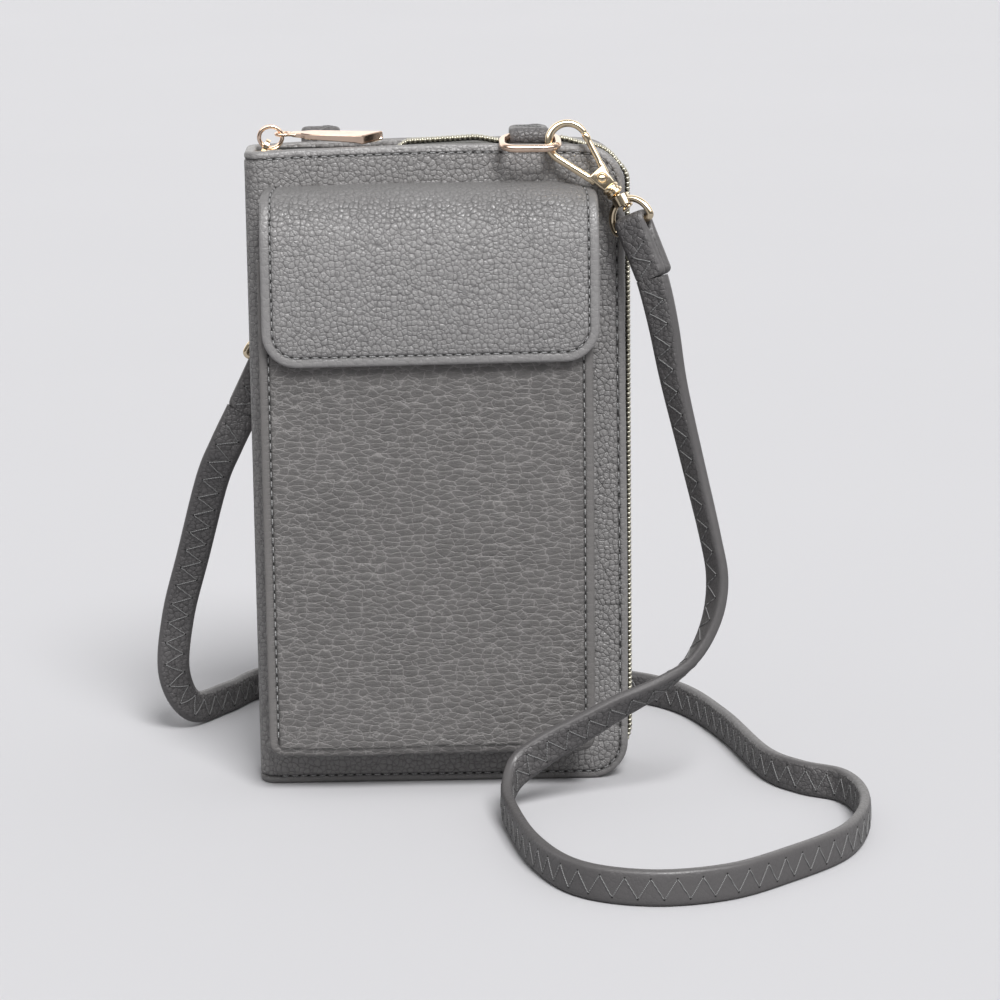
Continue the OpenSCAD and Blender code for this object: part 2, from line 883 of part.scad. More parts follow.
module tab_left_profile() {
  low = cover_h + fit;
  outer_r = (tab_bar_y + tab_wrap_r - lining_face) / 2;
  mid = lining_face + outer_r;
  difference() {
    union() {
      translate([lining_face, cover_h - tab_tail]) square([board_t, tab_tail + fit]);
      difference() {
        translate([mid, low]) circle(outer_r);
        translate([mid, low]) circle(max(outer_r - tab_t, fit));
        translate([mid - 2 * outer_r, low - 2 * outer_r]) square([4 * outer_r, 2 * outer_r]);
      }
      translate([mid + outer_r - tab_t, tab_left_bar_z]) square([tab_t, low - tab_left_bar_z]);
      translate([tab_bar_y, tab_left_bar_z]) circle(tab_wrap_r);
    }
    translate([tab_bar_y, tab_left_bar_z]) circle(ring_wire_d / 2 + fit);
  }
}

module tab_right() {
  color(strap_colour) in_frame() run_along_x(tab_right_x, tab_w) tab_right_profile();
}

module tab_left() {
  color(strap_colour) in_frame() run_along_x(tab_left_x, tab_w) tab_left_profile();
}

// A ring hangs from the middle of its upper bar, in X and Z
ring_corner_r = 2;

module ring_bar(from, to) {
  along = to - from;
  translate(from) rotate([0, atan2(along[0], along[2]), 0])
    cylinder(d = ring_wire_d, h = norm(along));
}

module ring() {
  wide = ring_w - ring_wire_d;
  x = wide / 2 - ring_corner_r;
  z = ring_drop - ring_corner_r;
  ring_bar([-x, 0, 0], [x, 0, 0]);
  ring_bar([-x, 0, -ring_drop], [x, 0, -ring_drop]);
  for (s = [-1, 1])
    ring_bar([s * wide / 2, 0, -z], [s * wide / 2, 0, -ring_corner_r]);
  for (at = [[x, -ring_corner_r, 270], [-x, -ring_corner_r, 180],
             [-x, -z, 90], [x, -z, 0]])
    translate([at[0], 0, at[1]]) rotate([-90, 0, 0]) rotate(at[2])
      rotate_extrude(angle = 90) translate([ring_corner_r, 0]) circle(d = ring_wire_d);
}

ring_right_shift = 0.1;
ring_right_bar_z = cover_h + tab_right_lift + tab_t / 2 - tab_bar_drop;

module ring_right() {
  color(rose_colour) in_frame()
    translate([tab_right_x + ring_right_shift, tab_right_bar_y, ring_right_bar_z])
      rotate([-90 + ring_right_fall, 0, 0]) ring();
}

module ring_left() {
  color(rose_colour) in_frame()
    translate([tab_left_x, tab_bar_y, tab_left_bar_z])
      rotate([ring_left_lean, 0, 0]) ring();
}

// Snap hooks. In a hook's own frame z runs from the rivet to the bow, and the bow lies
// in X and Z with its gate on the +X side.

arm_foot_x = 1.6;
arm_foot_z = -0.5;
arm_reach = norm([arm_foot_x, bow_reach - arm_foot_z]);
arm_l = sqrt(arm_reach * arm_reach - bow_r * bow_r);
arm_lean = asin(bow_r / arm_reach) - atan2(arm_foot_x, bow_reach - arm_foot_z);
arm_start = 2.2;
head_w = 5.6;
head_h = 6.4;
head_slot = 1.6;
head_wall = 0.9;
head_floor = 1.1;
bow_lap = 4;
pin_d = 1.6;
ear_t = 1.3;
ear_r = 1.8;
gate_bar_d = 2;
gate_foot = 0.4;
gate_start = 4.3;
gate_end = arm_l - fit;
barrel_d = 4.6;
barrel_l = 3;
post_d = 2;
hub_d = 5.2;
hub_l = 3;
hub_hole_d = 3.2;
hub_run = 0.7;
cap_d = 3.8;
cap_t = 0.8;
hub_z = -head_h / 2 - barrel_l - hub_run - hub_l / 2;
eye_leg = 1.5;
eye_corner_r = 1.1;
eye_bar = eye_r + eye_leg;

// Frames of the two hooks, by the point where each bow's wire crosses its ring
hook_right_inset = 7;
hook_right_proud = 5;
hook_right_drop = 9;
hook_right_at = [edge_x - hook_right_inset, -half_d - hook_right_proud,
                 cover_h - hook_right_drop];
hook_right_back = -15;
eye_right_lean = 16;
eye_right_turn = -36;
strap_right_turn = 6;
hook_left_shift = 3.9;
bow_slack = 0.7;
hook_left_seat = bow_reach + bow_r - hook_wire_d / 2 - ring_wire_d / 2 - bow_slack;
hook_left_top = [tab_left_x - hook_left_shift, tab_bar_y + ring_drop * sin(ring_left_lean),
                 tab_left_bar_z - ring_drop * cos(ring_left_lean)];
hook_left_swivel = 50;
strap_left_turn = 0;

module at_hook_right() {
  in_frame() translate(hook_right_at) rotate([hook_right_back, 0, 0])
    rotate([0, -hook_right_lean, 0]) children();
}

module at_hook_left() {
  in_frame() translate(hook_left_top) rotate([0, hook_left_lean, 0])
    translate([0, 0, -hook_left_seat]) children();
}

module at_eye_right() {
  at_hook_right() translate([0, 0, hub_z]) rotate([0, eye_right_lean, 0])
    rotate(eye_right_turn) children();
}

module at_eye_left() {
  at_hook_left() translate([0, 0, hub_z]) children();
}

module gate_line() {
  translate([arm_foot_x, 0, arm_foot_z]) rotate([0, arm_lean, 0]) children();
}

module hook_body() {
  translate([0, 0, bow_reach]) rotate([0, -arm_lean, 0]) {
    translate([-bow_r, 0, arm_start - arm_l]) cylinder(d = hook_wire_d, h = arm_l - arm_start);
    rotate([90, 0, 0]) mirror([1, 0, 0]) rotate_extrude(angle = 180 + bow_lap + arm_lean)
      translate([bow_r, 0]) circle(d = hook_wire_d);
  }
  difference() {
    translate([-head_w / 2, -head_t / 2, -head_h / 2]) cube([head_w, head_t, head_h]);
    translate([head_wall - head_w / 2, -head_slot / 2, head_floor - head_h / 2])
      cube([head_w, head_slot, head_h]);
    rotate([90, 0, 0]) cylinder(d = pin_d, h = head_t + cut, center = true);
  }
  translate([0, 0, -head_h / 2 - barrel_l]) cylinder(d = barrel_d, h = barrel_l + fit);
  translate([0, 0, hub_z - hub_l / 2 - hub_run - cap_t])
    cylinder(d = post_d, h = hub_l + 2 * hub_run + cap_t + fit);
  translate([0, 0, hub_z - hub_l / 2 - hub_run - cap_t]) cylinder(d = cap_d, h = cap_t);
}

module gate() {
  difference() {
    union() {
      rotate([90, 0, 0]) cylinder(r = ear_r, h = ear_t, center = true);
      gate_line() {
        translate([-gate_bar_d / 2, -ear_t / 2, gate_foot])
          cube([gate_bar_d, ear_t, gate_start]);
        translate([0, 0, gate_start]) cylinder(d = gate_bar_d, h = gate_end - gate_start);
      }
    }
    rotate([90, 0, 0]) cylinder(d = pin_d + 2 * fit, h = head_t, center = true);
    rotate([90, 0, 0]) cylinder(d = spring_d + 2 * fit, h = spring_w + 2 * fit, center = true);
  }
}

rivet_cap_d = 3.2;
rivet_cap_t = 0.5;

module gate_rivet() {
  rotate([90, 0, 0]) cylinder(d = pin_d, h = head_t, center = true);
  for (s = [-1, 1])
    rotate([90 * s, 0, 0]) translate([0, 0, head_t / 2])
      cylinder(d1 = rivet_cap_d, d2 = rivet_cap_d - 2 * rivet_cap_t, h = rivet_cap_t);
}

spring_d = 2.6;
spring_w = 0.6;

module gate_spring() {
  rotate([90, 0, 0])
    difference() {
      cylinder(d = spring_d, h = spring_w, center = true);
      cylinder(d = pin_d + fit, h = spring_w + cut, center = true);
    }
}

// The D-ring's own frame starts at its hub, with its straight bar below

module eye() {
  x = eye_r - eye_corner_r;
  z = eye_bar - eye_corner_r;
  difference() {
    union() {
      translate([0, 0, -eye_r]) rotate([90, 0, 0]) rotate_extrude(angle = 180)
        translate([eye_r, 0]) circle(d = eye_wire_d);
      translate([-x, 0, -eye_bar]) rotate([0, 90, 0]) cylinder(d = eye_wire_d, h = 2 * x);
      for (s = [-1, 1])
        translate([s * eye_r, 0, -z]) cylinder(d = eye_wire_d, h = z - eye_r);
      for (at = [[x, 0], [-x, 90]])
        translate([at[0], 0, -z]) rotate([-90, 0, 0]) rotate(at[1])
          rotate_extrude(angle = 90) translate([eye_corner_r, 0]) circle(d = eye_wire_d);
      translate([0, 0, -hub_l / 2]) cylinder(d = hub_d, h = hub_l);
    }
    translate([0, 0, -hub_l / 2 - cut]) cylinder(d = hub_hole_d, h = hub_l + 2 * cut);
  }
}

module hook_right() {
  color(gold_colour) at_hook_right() hook_body();
}

module gate_right() {
  color(gold_colour) at_hook_right() gate();
}

module gate_rivet_right() {
  color(gold_colour) at_hook_right() gate_rivet();
}

module gate_spring_right() {
  color(gold_colour) at_hook_right() gate_spring();
}

module eye_right() {
  color(gold_colour) at_eye_right() eye();
}

module hook_left() {
  color(gold_colour) at_hook_left() rotate(hook_left_swivel) hook_body();
}

module gate_left() {
  color(gold_colour) at_hook_left() rotate(hook_left_swivel) gate();
}

module gate_rivet_left() {
  color(gold_colour) at_hook_left() rotate(hook_left_swivel) gate_rivet();
}

module gate_spring_left() {
  color(gold_colour) at_hook_left() rotate(hook_left_swivel) gate_spring();
}

module eye_left() {
  color(gold_colour) at_eye_left() eye();
}

// Strap end: the strap folds round the D-ring's bar, and its tail is sewn down behind it.
// The fold is loose enough for the bar to lie at a slant in it.

fold_run = 0.15;
fold_in = eye_wire_d / 2 + fold_run;
fold_slack = strap_w / 2 * tan(strap_right_turn);
fold_t = 1.9;
fold_out = fold_in + fold_t;
fold_taper = 1.5;
fold_foot = -fold_slack - fold_out - fold_taper;

module strap_end_profile() {
  difference() {
    union() {
      translate([0, fold_slack]) circle(fold_out);
      polygon([[-fold_out, fold_slack], [-fold_out, -fold_slack], [-strap_t, fold_foot],
               [-strap_t, -strap_end_l], [strap_t, -strap_end_l], [strap_t, fold_foot],
               [fold_out, -fold_slack], [fold_out, fold_slack]]);
    }
    translate([0, fold_slack]) circle(fold_in);
    polygon([[-fold_in, fold_slack], [-fold_in, -fold_slack], [0, fold_foot],
             [fold_in, -fold_slack], [fold_in, fold_slack]]);
  }
}

module strap_end() {
  run_along_x(0, strap_w) strap_end_profile();
}

module strap_end_right() {
  color(strap_colour) at_eye_right()
    translate([0, 0, -eye_bar]) rotate([0, strap_right_turn, 0]) strap_end();
}

module strap_end_left() {
  color(strap_colour) at_eye_left()
    translate([0, 0, -eye_bar]) rotate([0, strap_left_turn, 0]) strap_end();
}

// Strap: places of its middle line in the frame, and the way that its width points there.
// It hangs from the right-hand hook, crosses in front of the wallet, lies on its edge in a
// loop, passes behind the wallet and climbs to the left-hand hook.

route = [
  [[64, -20, 140], [0.7, -0.6, 0.2]], [[67, -20, 123], [0.6, -0.8, 0.1]],
  [[72, -22, 101], [0.5, -0.9, 0.1]], [[77, -26, 79], [0.4, -0.9, 0.1]],
  [[79, -28, 66], [0.4, -0.9, 0.1]], [[77, -30, 54], [0.3, -0.9, 0.2]],
  [[71, -32, 43], [0.2, -0.9, 0.4]], [[62, -33, 36], [0, -0.8, 0.6]],
  [[50, -34, 30], [-0.1, -0.6, 0.8]], [[39, -35, 24], [-0.1, -0.4, 0.9]],
  [[28, -36, 18], [-0.1, -0.2, 1]], [[20, -38, 12], [0, -0.1, 1]], [[17, -46, 7], [0, 0, 1]],
  [[18, -59, 5.2], [0, 0, 1]], [[24, -91, 5.2], [0, 0, 1]], [[35, -114, 5.2], [0, 0, 1]],
  [[54, -123, 5.2], [0, 0, 1]], [[75, -119, 5.2], [0, 0, 1]], [[93, -105, 5.2], [0, 0, 1]],
  [[109, -88, 5.2], [0, 0, 1]], [[117, -69, 5.2], [0, 0, 1]], [[119, -50, 5.2], [0, 0, 1]],
  [[115, -34, 5.2], [0, 0, 1]], [[104, -25, 5.2], [0, 0, 1]], [[95, -10, 5.2], [0, 0, 1]],
  [[86, 30, 5.2], [0, 0, 1]], [[75, 61, 5.2], [0, 0, 1]], [[58, 78, 5.2], [0, 0, 1]],
  [[26, 94, 5.2], [0, 0, 1]], [[-20, 99, 5.2], [0, 0, 1]], [[-56, 92, 5.2], [0, 0, 1]],
  [[-70, 72, 5.2], [0, 0, 1]], [[-80, 56, 7], [0.4, 0.6, 0.7]],
  [[-85, 48, 20], [0.9, 0.3, 0.1]], [[-83, 45, 39], [1, 0.1, -0.1]],
  [[-77, 38, 61], [1, 0.1, -0.2]], [[-70, 27, 86], [0.9, 0.1, -0.4]],
  [[-65, 21, 98], [0.9, 0, -0.4]]
];
steps = 2;
edge_share = 0.46;
flat_share = 0.86;

function turn_x(a, p) =
  [p[0], p[1] * cos(a) - p[2] * sin(a), p[1] * sin(a) + p[2] * cos(a)];
function turn_y(a, p) =
  [p[0] * cos(a) + p[2] * sin(a), p[1], p[2] * cos(a) - p[0] * sin(a)];
function turn_z(a, p) =
  [p[0] * cos(a) - p[1] * sin(a), p[0] * sin(a) + p[1] * cos(a), p[2]];

// From a strap end's own frame to the whole frame: a direction and a place
function right_way(p) = turn_x(hook_right_back, turn_y(eye_right_lean - hook_right_lean,
  turn_z(eye_right_turn, turn_y(strap_right_turn, p))));
function right_bar() = [0, wallet_y, 0] + hook_right_at
  + turn_x(hook_right_back, turn_y(-hook_right_lean, [0, 0, hub_z]
      + turn_y(eye_right_lean, [0, 0, -eye_bar])));
function left_way(p) = turn_y(hook_left_lean + strap_left_turn, p);
function left_bar() = [0, wallet_y, 0] + hook_left_top
  + turn_y(hook_left_lean, [0, 0, hub_z - eye_bar - hook_left_seat]);

across = [1, 0, 0];
down = [0, 0, -1];
joint_at = [0, -strap_t / 2, -strap_end_l];
lead_l = 10;
lead = lead_l * down;
right_joint = right_bar() + right_way(joint_at);
left_joint = left_bar() + left_way(joint_at);
strap_rows = concat(
  [[right_joint - right_way(lead), right_way(across)], [right_joint, right_way(across)]],
  route,
  [[left_joint, left_way(across)], [left_joint - left_way(lead), left_way(across)]]
);
spans = len(strap_rows) - 3;
rings = spans * steps + 1;

function smooth(a, b, c, d, t) =
  (2 * b + (c - a) * t + (2 * a - 5 * b + 4 * c - d) * t * t
    + (3 * b - a - 3 * c + d) * t * t * t) / 2;
function on_strap(i, k) =
  let (j = min(floor(i / steps), spans - 1), t = i / steps - j)
    smooth(strap_rows[j][k], strap_rows[j + 1][k], strap_rows[j + 2][k],
           strap_rows[j + 3][k], t);
function unit(v) = v / norm(v);
function strap_way(i) =
  i == 0 ? right_way(down)
    : i == rings - 1 ? -left_way(down)
    : unit(on_strap(i + 1, 0) - on_strap(i - 1, 0));

function strap_ring(i) =
  let (
    at = on_strap(i, 0),
    way = strap_way(i),
    wide = on_strap(i, 1),
    w = unit(wide - (wide * way) * way) * strap_w / 2,
    n = cross(unit(w), way) * strap_t / 2
  )
    [
      for (c = [[1, edge_share], [flat_share, 1], [-flat_share, 1], [-1, edge_share],
                [-1, -edge_share], [-flat_share, -1], [flat_share, -1], [1, -edge_share]])
        at + c[0] * w + c[1] * n
    ];

sides = 8;

module strap() {
  color(strap_colour)
    polyhedron(
      points = [for (i = [0 : rings - 1]) each strap_ring(i)],
      faces = concat(
        [[for (k = [0 : sides - 1]) k]],
        [
          for (i = [0 : rings - 2]) for (k = [0 : sides - 1])
            let (a = i * sides + k, b = i * sides + (k + 1) % sides)
              each [[a, b + sides, b], [a, a + sides, b + sides]]
        ],
        [[for (k = [sides - 1 : -1 : 0]) (rings - 1) * sides + k]]
      ),
      convexity = 8
    );
}

outer_cover();
front_board();
back_board();
front_lining();
back_lining();
spine_lining();
card_slots_front();
card_slots_back();
coin_pocket();
zip_tape_front();
zip_tape_back();
zip_teeth_front();
zip_teeth_back();
zip_stops();
zip_slider();
pull_ring();
pull_tab();
pocket_front();
pocket_gusset();
pocket_lining();
pocket_back_lining();
pocket_magnet();
snap_washers();
flap_shoulder();
flap_shoulder_lining();
flap_outer();
flap_board();
flap_lining();
flap_magnet();
tab_left();
tab_right();
ring_left();
ring_right();
hook_right();
gate_right();
gate_rivet_right();
gate_spring_right();
eye_right();
hook_left();
gate_left();
gate_rivet_left();
gate_spring_left();
eye_left();
strap();
strap_end_right();
strap_end_left();
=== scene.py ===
# %% [markdown]
# # A phone pouch of pebbled leather
# The pouch is a zip-round wallet that stands upright, with a boxed phone pocket under a
# magnetic flap on its front and a long flat strap on two snap hooks. Plain hard parts, such
# as the slider, the magnets and the springs, are used as they are. The leather, the cloth
# and the stitches are modelled here over the CAD solids. So are the cast hooks, the rings,
# the zip's teeth and its pull, because casting and polishing leave softer forms than an
# exact solid has.

# %% Load the frame
import itertools
import json
import math

import bmesh
import bpy
import numpy as np
from mathutils import Matrix, Vector, noise

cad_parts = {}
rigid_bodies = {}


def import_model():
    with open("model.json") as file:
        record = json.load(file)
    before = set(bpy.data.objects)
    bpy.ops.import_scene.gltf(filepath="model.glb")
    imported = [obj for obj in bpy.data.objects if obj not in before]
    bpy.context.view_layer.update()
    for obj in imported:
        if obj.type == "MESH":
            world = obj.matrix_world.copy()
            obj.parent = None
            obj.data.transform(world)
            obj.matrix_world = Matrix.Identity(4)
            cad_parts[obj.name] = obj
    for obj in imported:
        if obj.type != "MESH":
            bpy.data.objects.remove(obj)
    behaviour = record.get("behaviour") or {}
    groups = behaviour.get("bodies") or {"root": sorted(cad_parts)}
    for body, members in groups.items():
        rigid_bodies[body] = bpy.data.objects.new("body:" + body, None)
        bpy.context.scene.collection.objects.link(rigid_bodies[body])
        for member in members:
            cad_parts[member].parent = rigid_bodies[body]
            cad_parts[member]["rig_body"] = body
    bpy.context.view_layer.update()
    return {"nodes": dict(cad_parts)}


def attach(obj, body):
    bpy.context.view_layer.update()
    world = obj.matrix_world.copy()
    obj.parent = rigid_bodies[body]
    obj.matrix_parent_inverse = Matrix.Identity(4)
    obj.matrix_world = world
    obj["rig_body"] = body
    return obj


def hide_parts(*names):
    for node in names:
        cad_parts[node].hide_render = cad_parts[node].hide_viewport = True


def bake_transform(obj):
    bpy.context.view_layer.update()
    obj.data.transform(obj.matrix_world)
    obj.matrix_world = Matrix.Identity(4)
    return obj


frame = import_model()
MM = 0.001

# %% [markdown]
# ## The camera
# The photograph looks down on the pouch at twelve degrees from about a metre away, through a
# long lens, and the pouch leans a little in the picture. A camera is a matrix whose columns
# are its right, up and backward ways. I build them from the view first, then roll them, then
# turn the camera a hair so that the wallet stands left of the middle. A lens shift would do
# that too, but a turn keeps the other views of the model simple. The focal length is kept in
# pixels of the picture, because that is how it was measured, and becomes millimetres at last.

# %% The camera
FOCUS_PIXELS, PICTURE_PIXELS, SENSOR_MM = 3538, 1000, 36
camera_at = Vector((0, -1022.4, 313)) * MM
look_at = Vector((0, 4.6, 95)) * MM
roll = 0.0157
aside, above = -57.3 / FOCUS_PIXELS, 37 / FOCUS_PIXELS

ahead = (look_at - camera_at).normalized()
flat_right = ahead.cross(Vector((0, 0, 1))).normalized()
flat_up = flat_right.cross(ahead)
right = flat_right * math.cos(roll) - flat_up * math.sin(roll)
up = flat_up * math.cos(roll) + flat_right * math.sin(roll)
ahead = (ahead - right * aside - up * above).normalized()
right = ahead.cross(up).normalized()
up = right.cross(ahead)

camera_data = bpy.data.cameras.new("camera")
camera_data.sensor_width = SENSOR_MM
camera_data.lens = FOCUS_PIXELS * SENSOR_MM / PICTURE_PIXELS
camera_data.clip_end = 30
camera = bpy.data.objects.new("camera", camera_data)
camera.matrix_world = Matrix(
    [[right[i], up[i], -ahead[i], camera_at[i]] for i in range(3)] + [[0, 0, 0, 1]]
)
bpy.context.scene.collection.objects.link(camera)
bpy.context.scene.camera = camera
print("lens in mm:", round(camera_data.lens, 1))

# %% [markdown]
# ## Small helpers for meshes
# Nearly every soft piece here is a skin over rows of points: each row is a closed or an open
# loop, and quads join it to the next. `skin` turns such rows into a mesh. All sizes are
# worked out in millimetres, as a leather worker thinks, and become metres at the last step.
# An edge is shaded sharp where its faces meet at more than `smooth` degrees.

# %% A skin over rows of points
def joined(first, rows, count, around=True, cap=False):
    """Quads between rows of points, which are numbered on from first. around closes each
    row, and cap fills the first row and the last."""
    faces = []
    for r in range(rows - 1):
        start = first + r * count
        for i in range(count if around else count - 1):
            a, b = start + i, start + (i + 1) % count
            faces.append((a, b, b + count, a + count))
    if cap:
        last = first + (rows - 1) * count
        faces.append(tuple(reversed(range(first, first + count))))
        faces.append(tuple(range(last, last + count)))
    return faces


def across_loop(rows, count):
    """Quads that close the last loop of a skin, each between two opposite edges."""
    last = (rows - 1) * count
    return [(last + k, last + k + 1, last + count - 2 - k, last + count - 1 - k)
            for k in range(count // 2 - 1)]


def skin(name, rows, around=True, cap=False, smooth=50, extra=()):
    """A mesh over rows of points in mm. extra holds more faces, by number of point."""
    points = np.array(rows, float).reshape(-1, 3) * MM
    faces = joined(0, len(rows), len(rows[0]), around, cap)
    return mesh_piece(name, points, [*faces, *extra], smooth)


def mesh_piece(name, points, faces, smooth=50):
    """An object with that mesh, with its faces turned outwards and shaded smooth."""
    mesh = bpy.data.meshes.new(name)
    mesh.from_pydata([tuple(p) for p in points], [], faces)
    shape = bmesh.new()
    shape.from_mesh(mesh)
    bmesh.ops.recalc_face_normals(shape, faces=shape.faces)
    shape.to_mesh(mesh)
    shape.free()
    made = bpy.data.objects.new(name, mesh)
    bpy.context.scene.collection.objects.link(made)
    mesh.shade_smooth()
    mesh.set_sharp_from_angle(angle=math.radians(smooth))
    return made


def finish_piece(piece, body, material, slot, *nodes):
    """The last steps for most pieces: body, material and the nodes it replaces.
    slot is not used.
    """
    piece.data.materials.append(material)
    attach(piece, body)
    if nodes:
        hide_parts(*nodes)
    print(f"{piece.name}: {len(piece.data.vertices)} vertices, rides on {body}")
    return piece


print("helpers for meshes are ready")

# %% [markdown]
# Four small sums come back all the time. `bell` and `ease` shape everything that swells, sinks
# or fades, and both start and stop without a corner. `distances` and `unit` work on a whole
# line of points at once.

# %% Sums that come back
def bell(t):
    """1 at 0, and 0 from 1 outwards, with no corner."""
    t = min(abs(t), 1)
    return (1 - t * t) ** 2


def ease(t):
    """0 below 0, 1 above 1, with no corner between."""
    t = min(max(t, 0), 1)
    return t * t * (3 - 2 * t)


def distances(line):
    """How far along a line of points each of them is."""
    steps = np.linalg.norm(np.diff(line, axis=0), axis=1)
    return np.concatenate([[0], np.cumsum(steps)])


def unit(vectors):
    """Each row made one long."""
    return vectors / np.linalg.norm(vectors, axis=1)[:, None]


print("half way up, ease gives", ease(0.5), "and bell gives", bell(0.5))

# %% [markdown]
# ## Shader sums
# A procedural finish is mostly arithmetic on textures: a grain minus a crease, a mask times a
# colour. `Wire` wraps one socket, so that such sums read as Python, and every other node
# comes from its one method `node`, which takes the node's type, its settings and what goes
# into its sockets.

# %% A socket that can be used in sums
class Wire:
    """One socket of a tree of nodes, or none yet at the start of a sum."""

    def __init__(self, tree, socket=None):
        self.tree, self.socket = tree, socket

    def node(self, kind, settings=None, inputs=None, out=0):
        """A new node. Settings come first, because they can change which sockets it has."""
        made = self.tree.nodes.new("ShaderNode" + kind)
        for key, value in (settings or {}).items():
            if key == "stops":
                ramp = made.color_ramp
                while len(ramp.elements) < len(value):
                    ramp.elements.new(1)
                for element, (place, colour) in zip(ramp.elements, value):
                    element.position, element.color = place, colour
            else:
                setattr(made, key, value)
        for key, value in (inputs or {}).items():
            if isinstance(value, Wire):
                self.tree.links.new(value.socket, made.inputs[key])
            else:
                made.inputs[key].default_value = value
        return Wire(self.tree, made.outputs[out])

    def maths(self, operation, first, second):
        return self.node("Math", {"operation": operation}, {0: first, 1: second})

    def __add__(self, other):
        return self.maths("ADD", self, other)

    def __sub__(self, other):
        return self.maths("SUBTRACT", self, other)

    def __rsub__(self, other):
        return self.maths("SUBTRACT", other, self)

    def __mul__(self, other):
        return self.maths("MULTIPLY", self, other)

    __radd__ = __add__
    __rmul__ = __mul__

    def step(self, low, high):
        """0 below low and 1 above high, eased between."""
        return self.node("MapRange", {"interpolation_type": "SMOOTHSTEP"},
                         {"Value": self, "From Min": low, "From Max": high})

    def tint(self, dark, light):
        """A colour between dark, at 0, and light, at 1."""
        return self.node("Mix", {"data_type": "RGBA"},
                         {0: self, 6: (*dark, 1), 7: (*light, 1)}, out=2)

    def shaded(self, amount):
        """This colour, taken towards black by the amount."""
        return self.node("Mix", {"data_type": "RGBA"},
                         {0: amount, 6: self, 7: (0.0, 0.0, 0.0, 1)}, out=2)

    def bump(self, depth):
        """A normal from this height, which is 1 at depth in metres."""
        return self.node("Bump", {}, {"Height": self, "Distance": depth})


def finish(name, build, **fixed):
    """A material: fixed values go on the shader's sockets, and build returns the wires."""
    material = bpy.data.materials.new(name)
    material.use_nodes = True
    tree = material.node_tree
    shader = tree.nodes["Principled BSDF"]
    for socket, value in fixed.items():
        shader.inputs[socket.replace("_", " ")].default_value = value
    for socket, wire in build(Wire(tree)).items():
        tree.links.new(wire.socket, shader.inputs[socket])
    print(f"{name}: {len(tree.nodes)} nodes")
    return material


# %% [markdown]
# ## Pebbled leather
# The real leather is pressed with pebbles about a millimetre and a half across: low domes
# with narrow creases between, and finer creases over them. Modelled pebbles would need
# millions of faces, so a bump does it. They are Voronoi cells, bent by noise so that none is
# a neat polygon: the distance to a cell's middle gives the round dome, and the distance to
# its edge gives the crease. The colour is painted lighter on the dome tops, as a painted
# highlight, and darker in the creases, as painted shade. On the pocket the leather is pulled
# sideways, so there the pebbles are long, and its creases are painted pale, partly as rub
# wear and partly as a painted highlight along their lips. Where an edge is turned and
# pressed, the attribute `rim` of the mesh rises to 1, and the pebbles fade into smooth
# leather. The attribute `seam` is painted shade: it darkens the sunk line under the
# stitches, and the leather near a fold and near the flap's foot.

# %% Pebbled leather
# Painted shade: how much darker the colour is where the attribute seam is 1.
SEAM_SHADE = 0.72


def pebbles(start, place, size, stretch, warp, feature="DISTANCE_TO_EDGE"):
    """Distance from the nearest edge, or with F1 the middle, of a cell in a bent pattern."""
    shake = start.node("TexNoise", {}, {"Vector": place, "Scale": 0.6 / size, "Detail": 3},
                       out="Color")
    moved = start.node("VectorMath", {"operation": "MULTIPLY_ADD"},
                       {0: shake, 1: (warp * size,) * 3, 2: place})
    laid = start.node("VectorMath", {"operation": "MULTIPLY"}, {0: moved, 1: stretch})
    return start.node("TexVoronoi", {"feature": feature},
                      {"Vector": laid, "Scale": 1 / size, "Randomness": 0.85})


def leather(name, colour, size, depth, stretch=(1, 1, 1), rough=0.42, smooth_rim=0.7,
            painted_crease_tone=0.64, warp=1.0, hairs=0.12, thin=0.15, painted_top_highlight=1.12):
    """Pebbles of that size and depth in metres. The crease tone multiplies the colour in the
    creases: below 1 it is painted shade, above 1 a painted highlight along the crease lips
    with rub wear. The top tone multiplies it on the dome tops, as a painted highlight. thin
    is a crease's share of a cell, and hairs that of the finer creases."""
    def build(start):
        place = start.node("TexCoord", out="Object")
        broad = start.node("TexNoise", {}, {"Vector": place, "Scale": 45, "Detail": 3})
        fine = start.node("TexNoise", {}, {"Vector": place, "Scale": 2600, "Detail": 3})
        edge = pebbles(start, place, size, stretch, warp)
        small = pebbles(start, place, size * 0.5, stretch, warp)
        away = pebbles(start, place, size, stretch, warp, "F1")
        rim = start.node("Attribute", {"attribute_name": "rim"}, out="Fac")
        seam = start.node("Attribute", {"attribute_name": "seam"}, out="Fac")
        line = edge.step(0.0, thin)
        hair = small.step(0.0, thin)
        dome = 1 - away * away * 1.3
        patch = broad.step(0.3, 0.75)
        grain = (1 - rim * smooth_rim) * (patch * 0.35 + 0.65)
        height = (line * 0.18 + dome * (0.82 - hairs) + hair * hairs) * grain + fine * 0.04
        # The colour runs from the crease tone, painted shade, to the top tone, a painted
        # highlight on the dome tops; patch adds a random tone.
        crease = tuple(v * painted_crease_tone for v in colour)
        light = tuple(v * painted_top_highlight for v in colour)
        shade = (line * 0.5 + dome * 0.3 + hair * hairs + patch * (0.2 - hairs)) * (1 - rim)
        return {
            # seam darkens the colour: painted shade under the stitches and near the fold.
            "Base Color": ((shade + rim * 0.6).tint(crease, light)).shaded(seam * SEAM_SHADE),
            "Roughness": (1 - line) * 0.14 + fine * 0.1 + (rough - 0.06),
            "Normal": height.bump(depth),
        }

    return finish(name, build, Specular_IOR_Level=0.6)


print("under a stitch the leather is darker by", SEAM_SHADE)
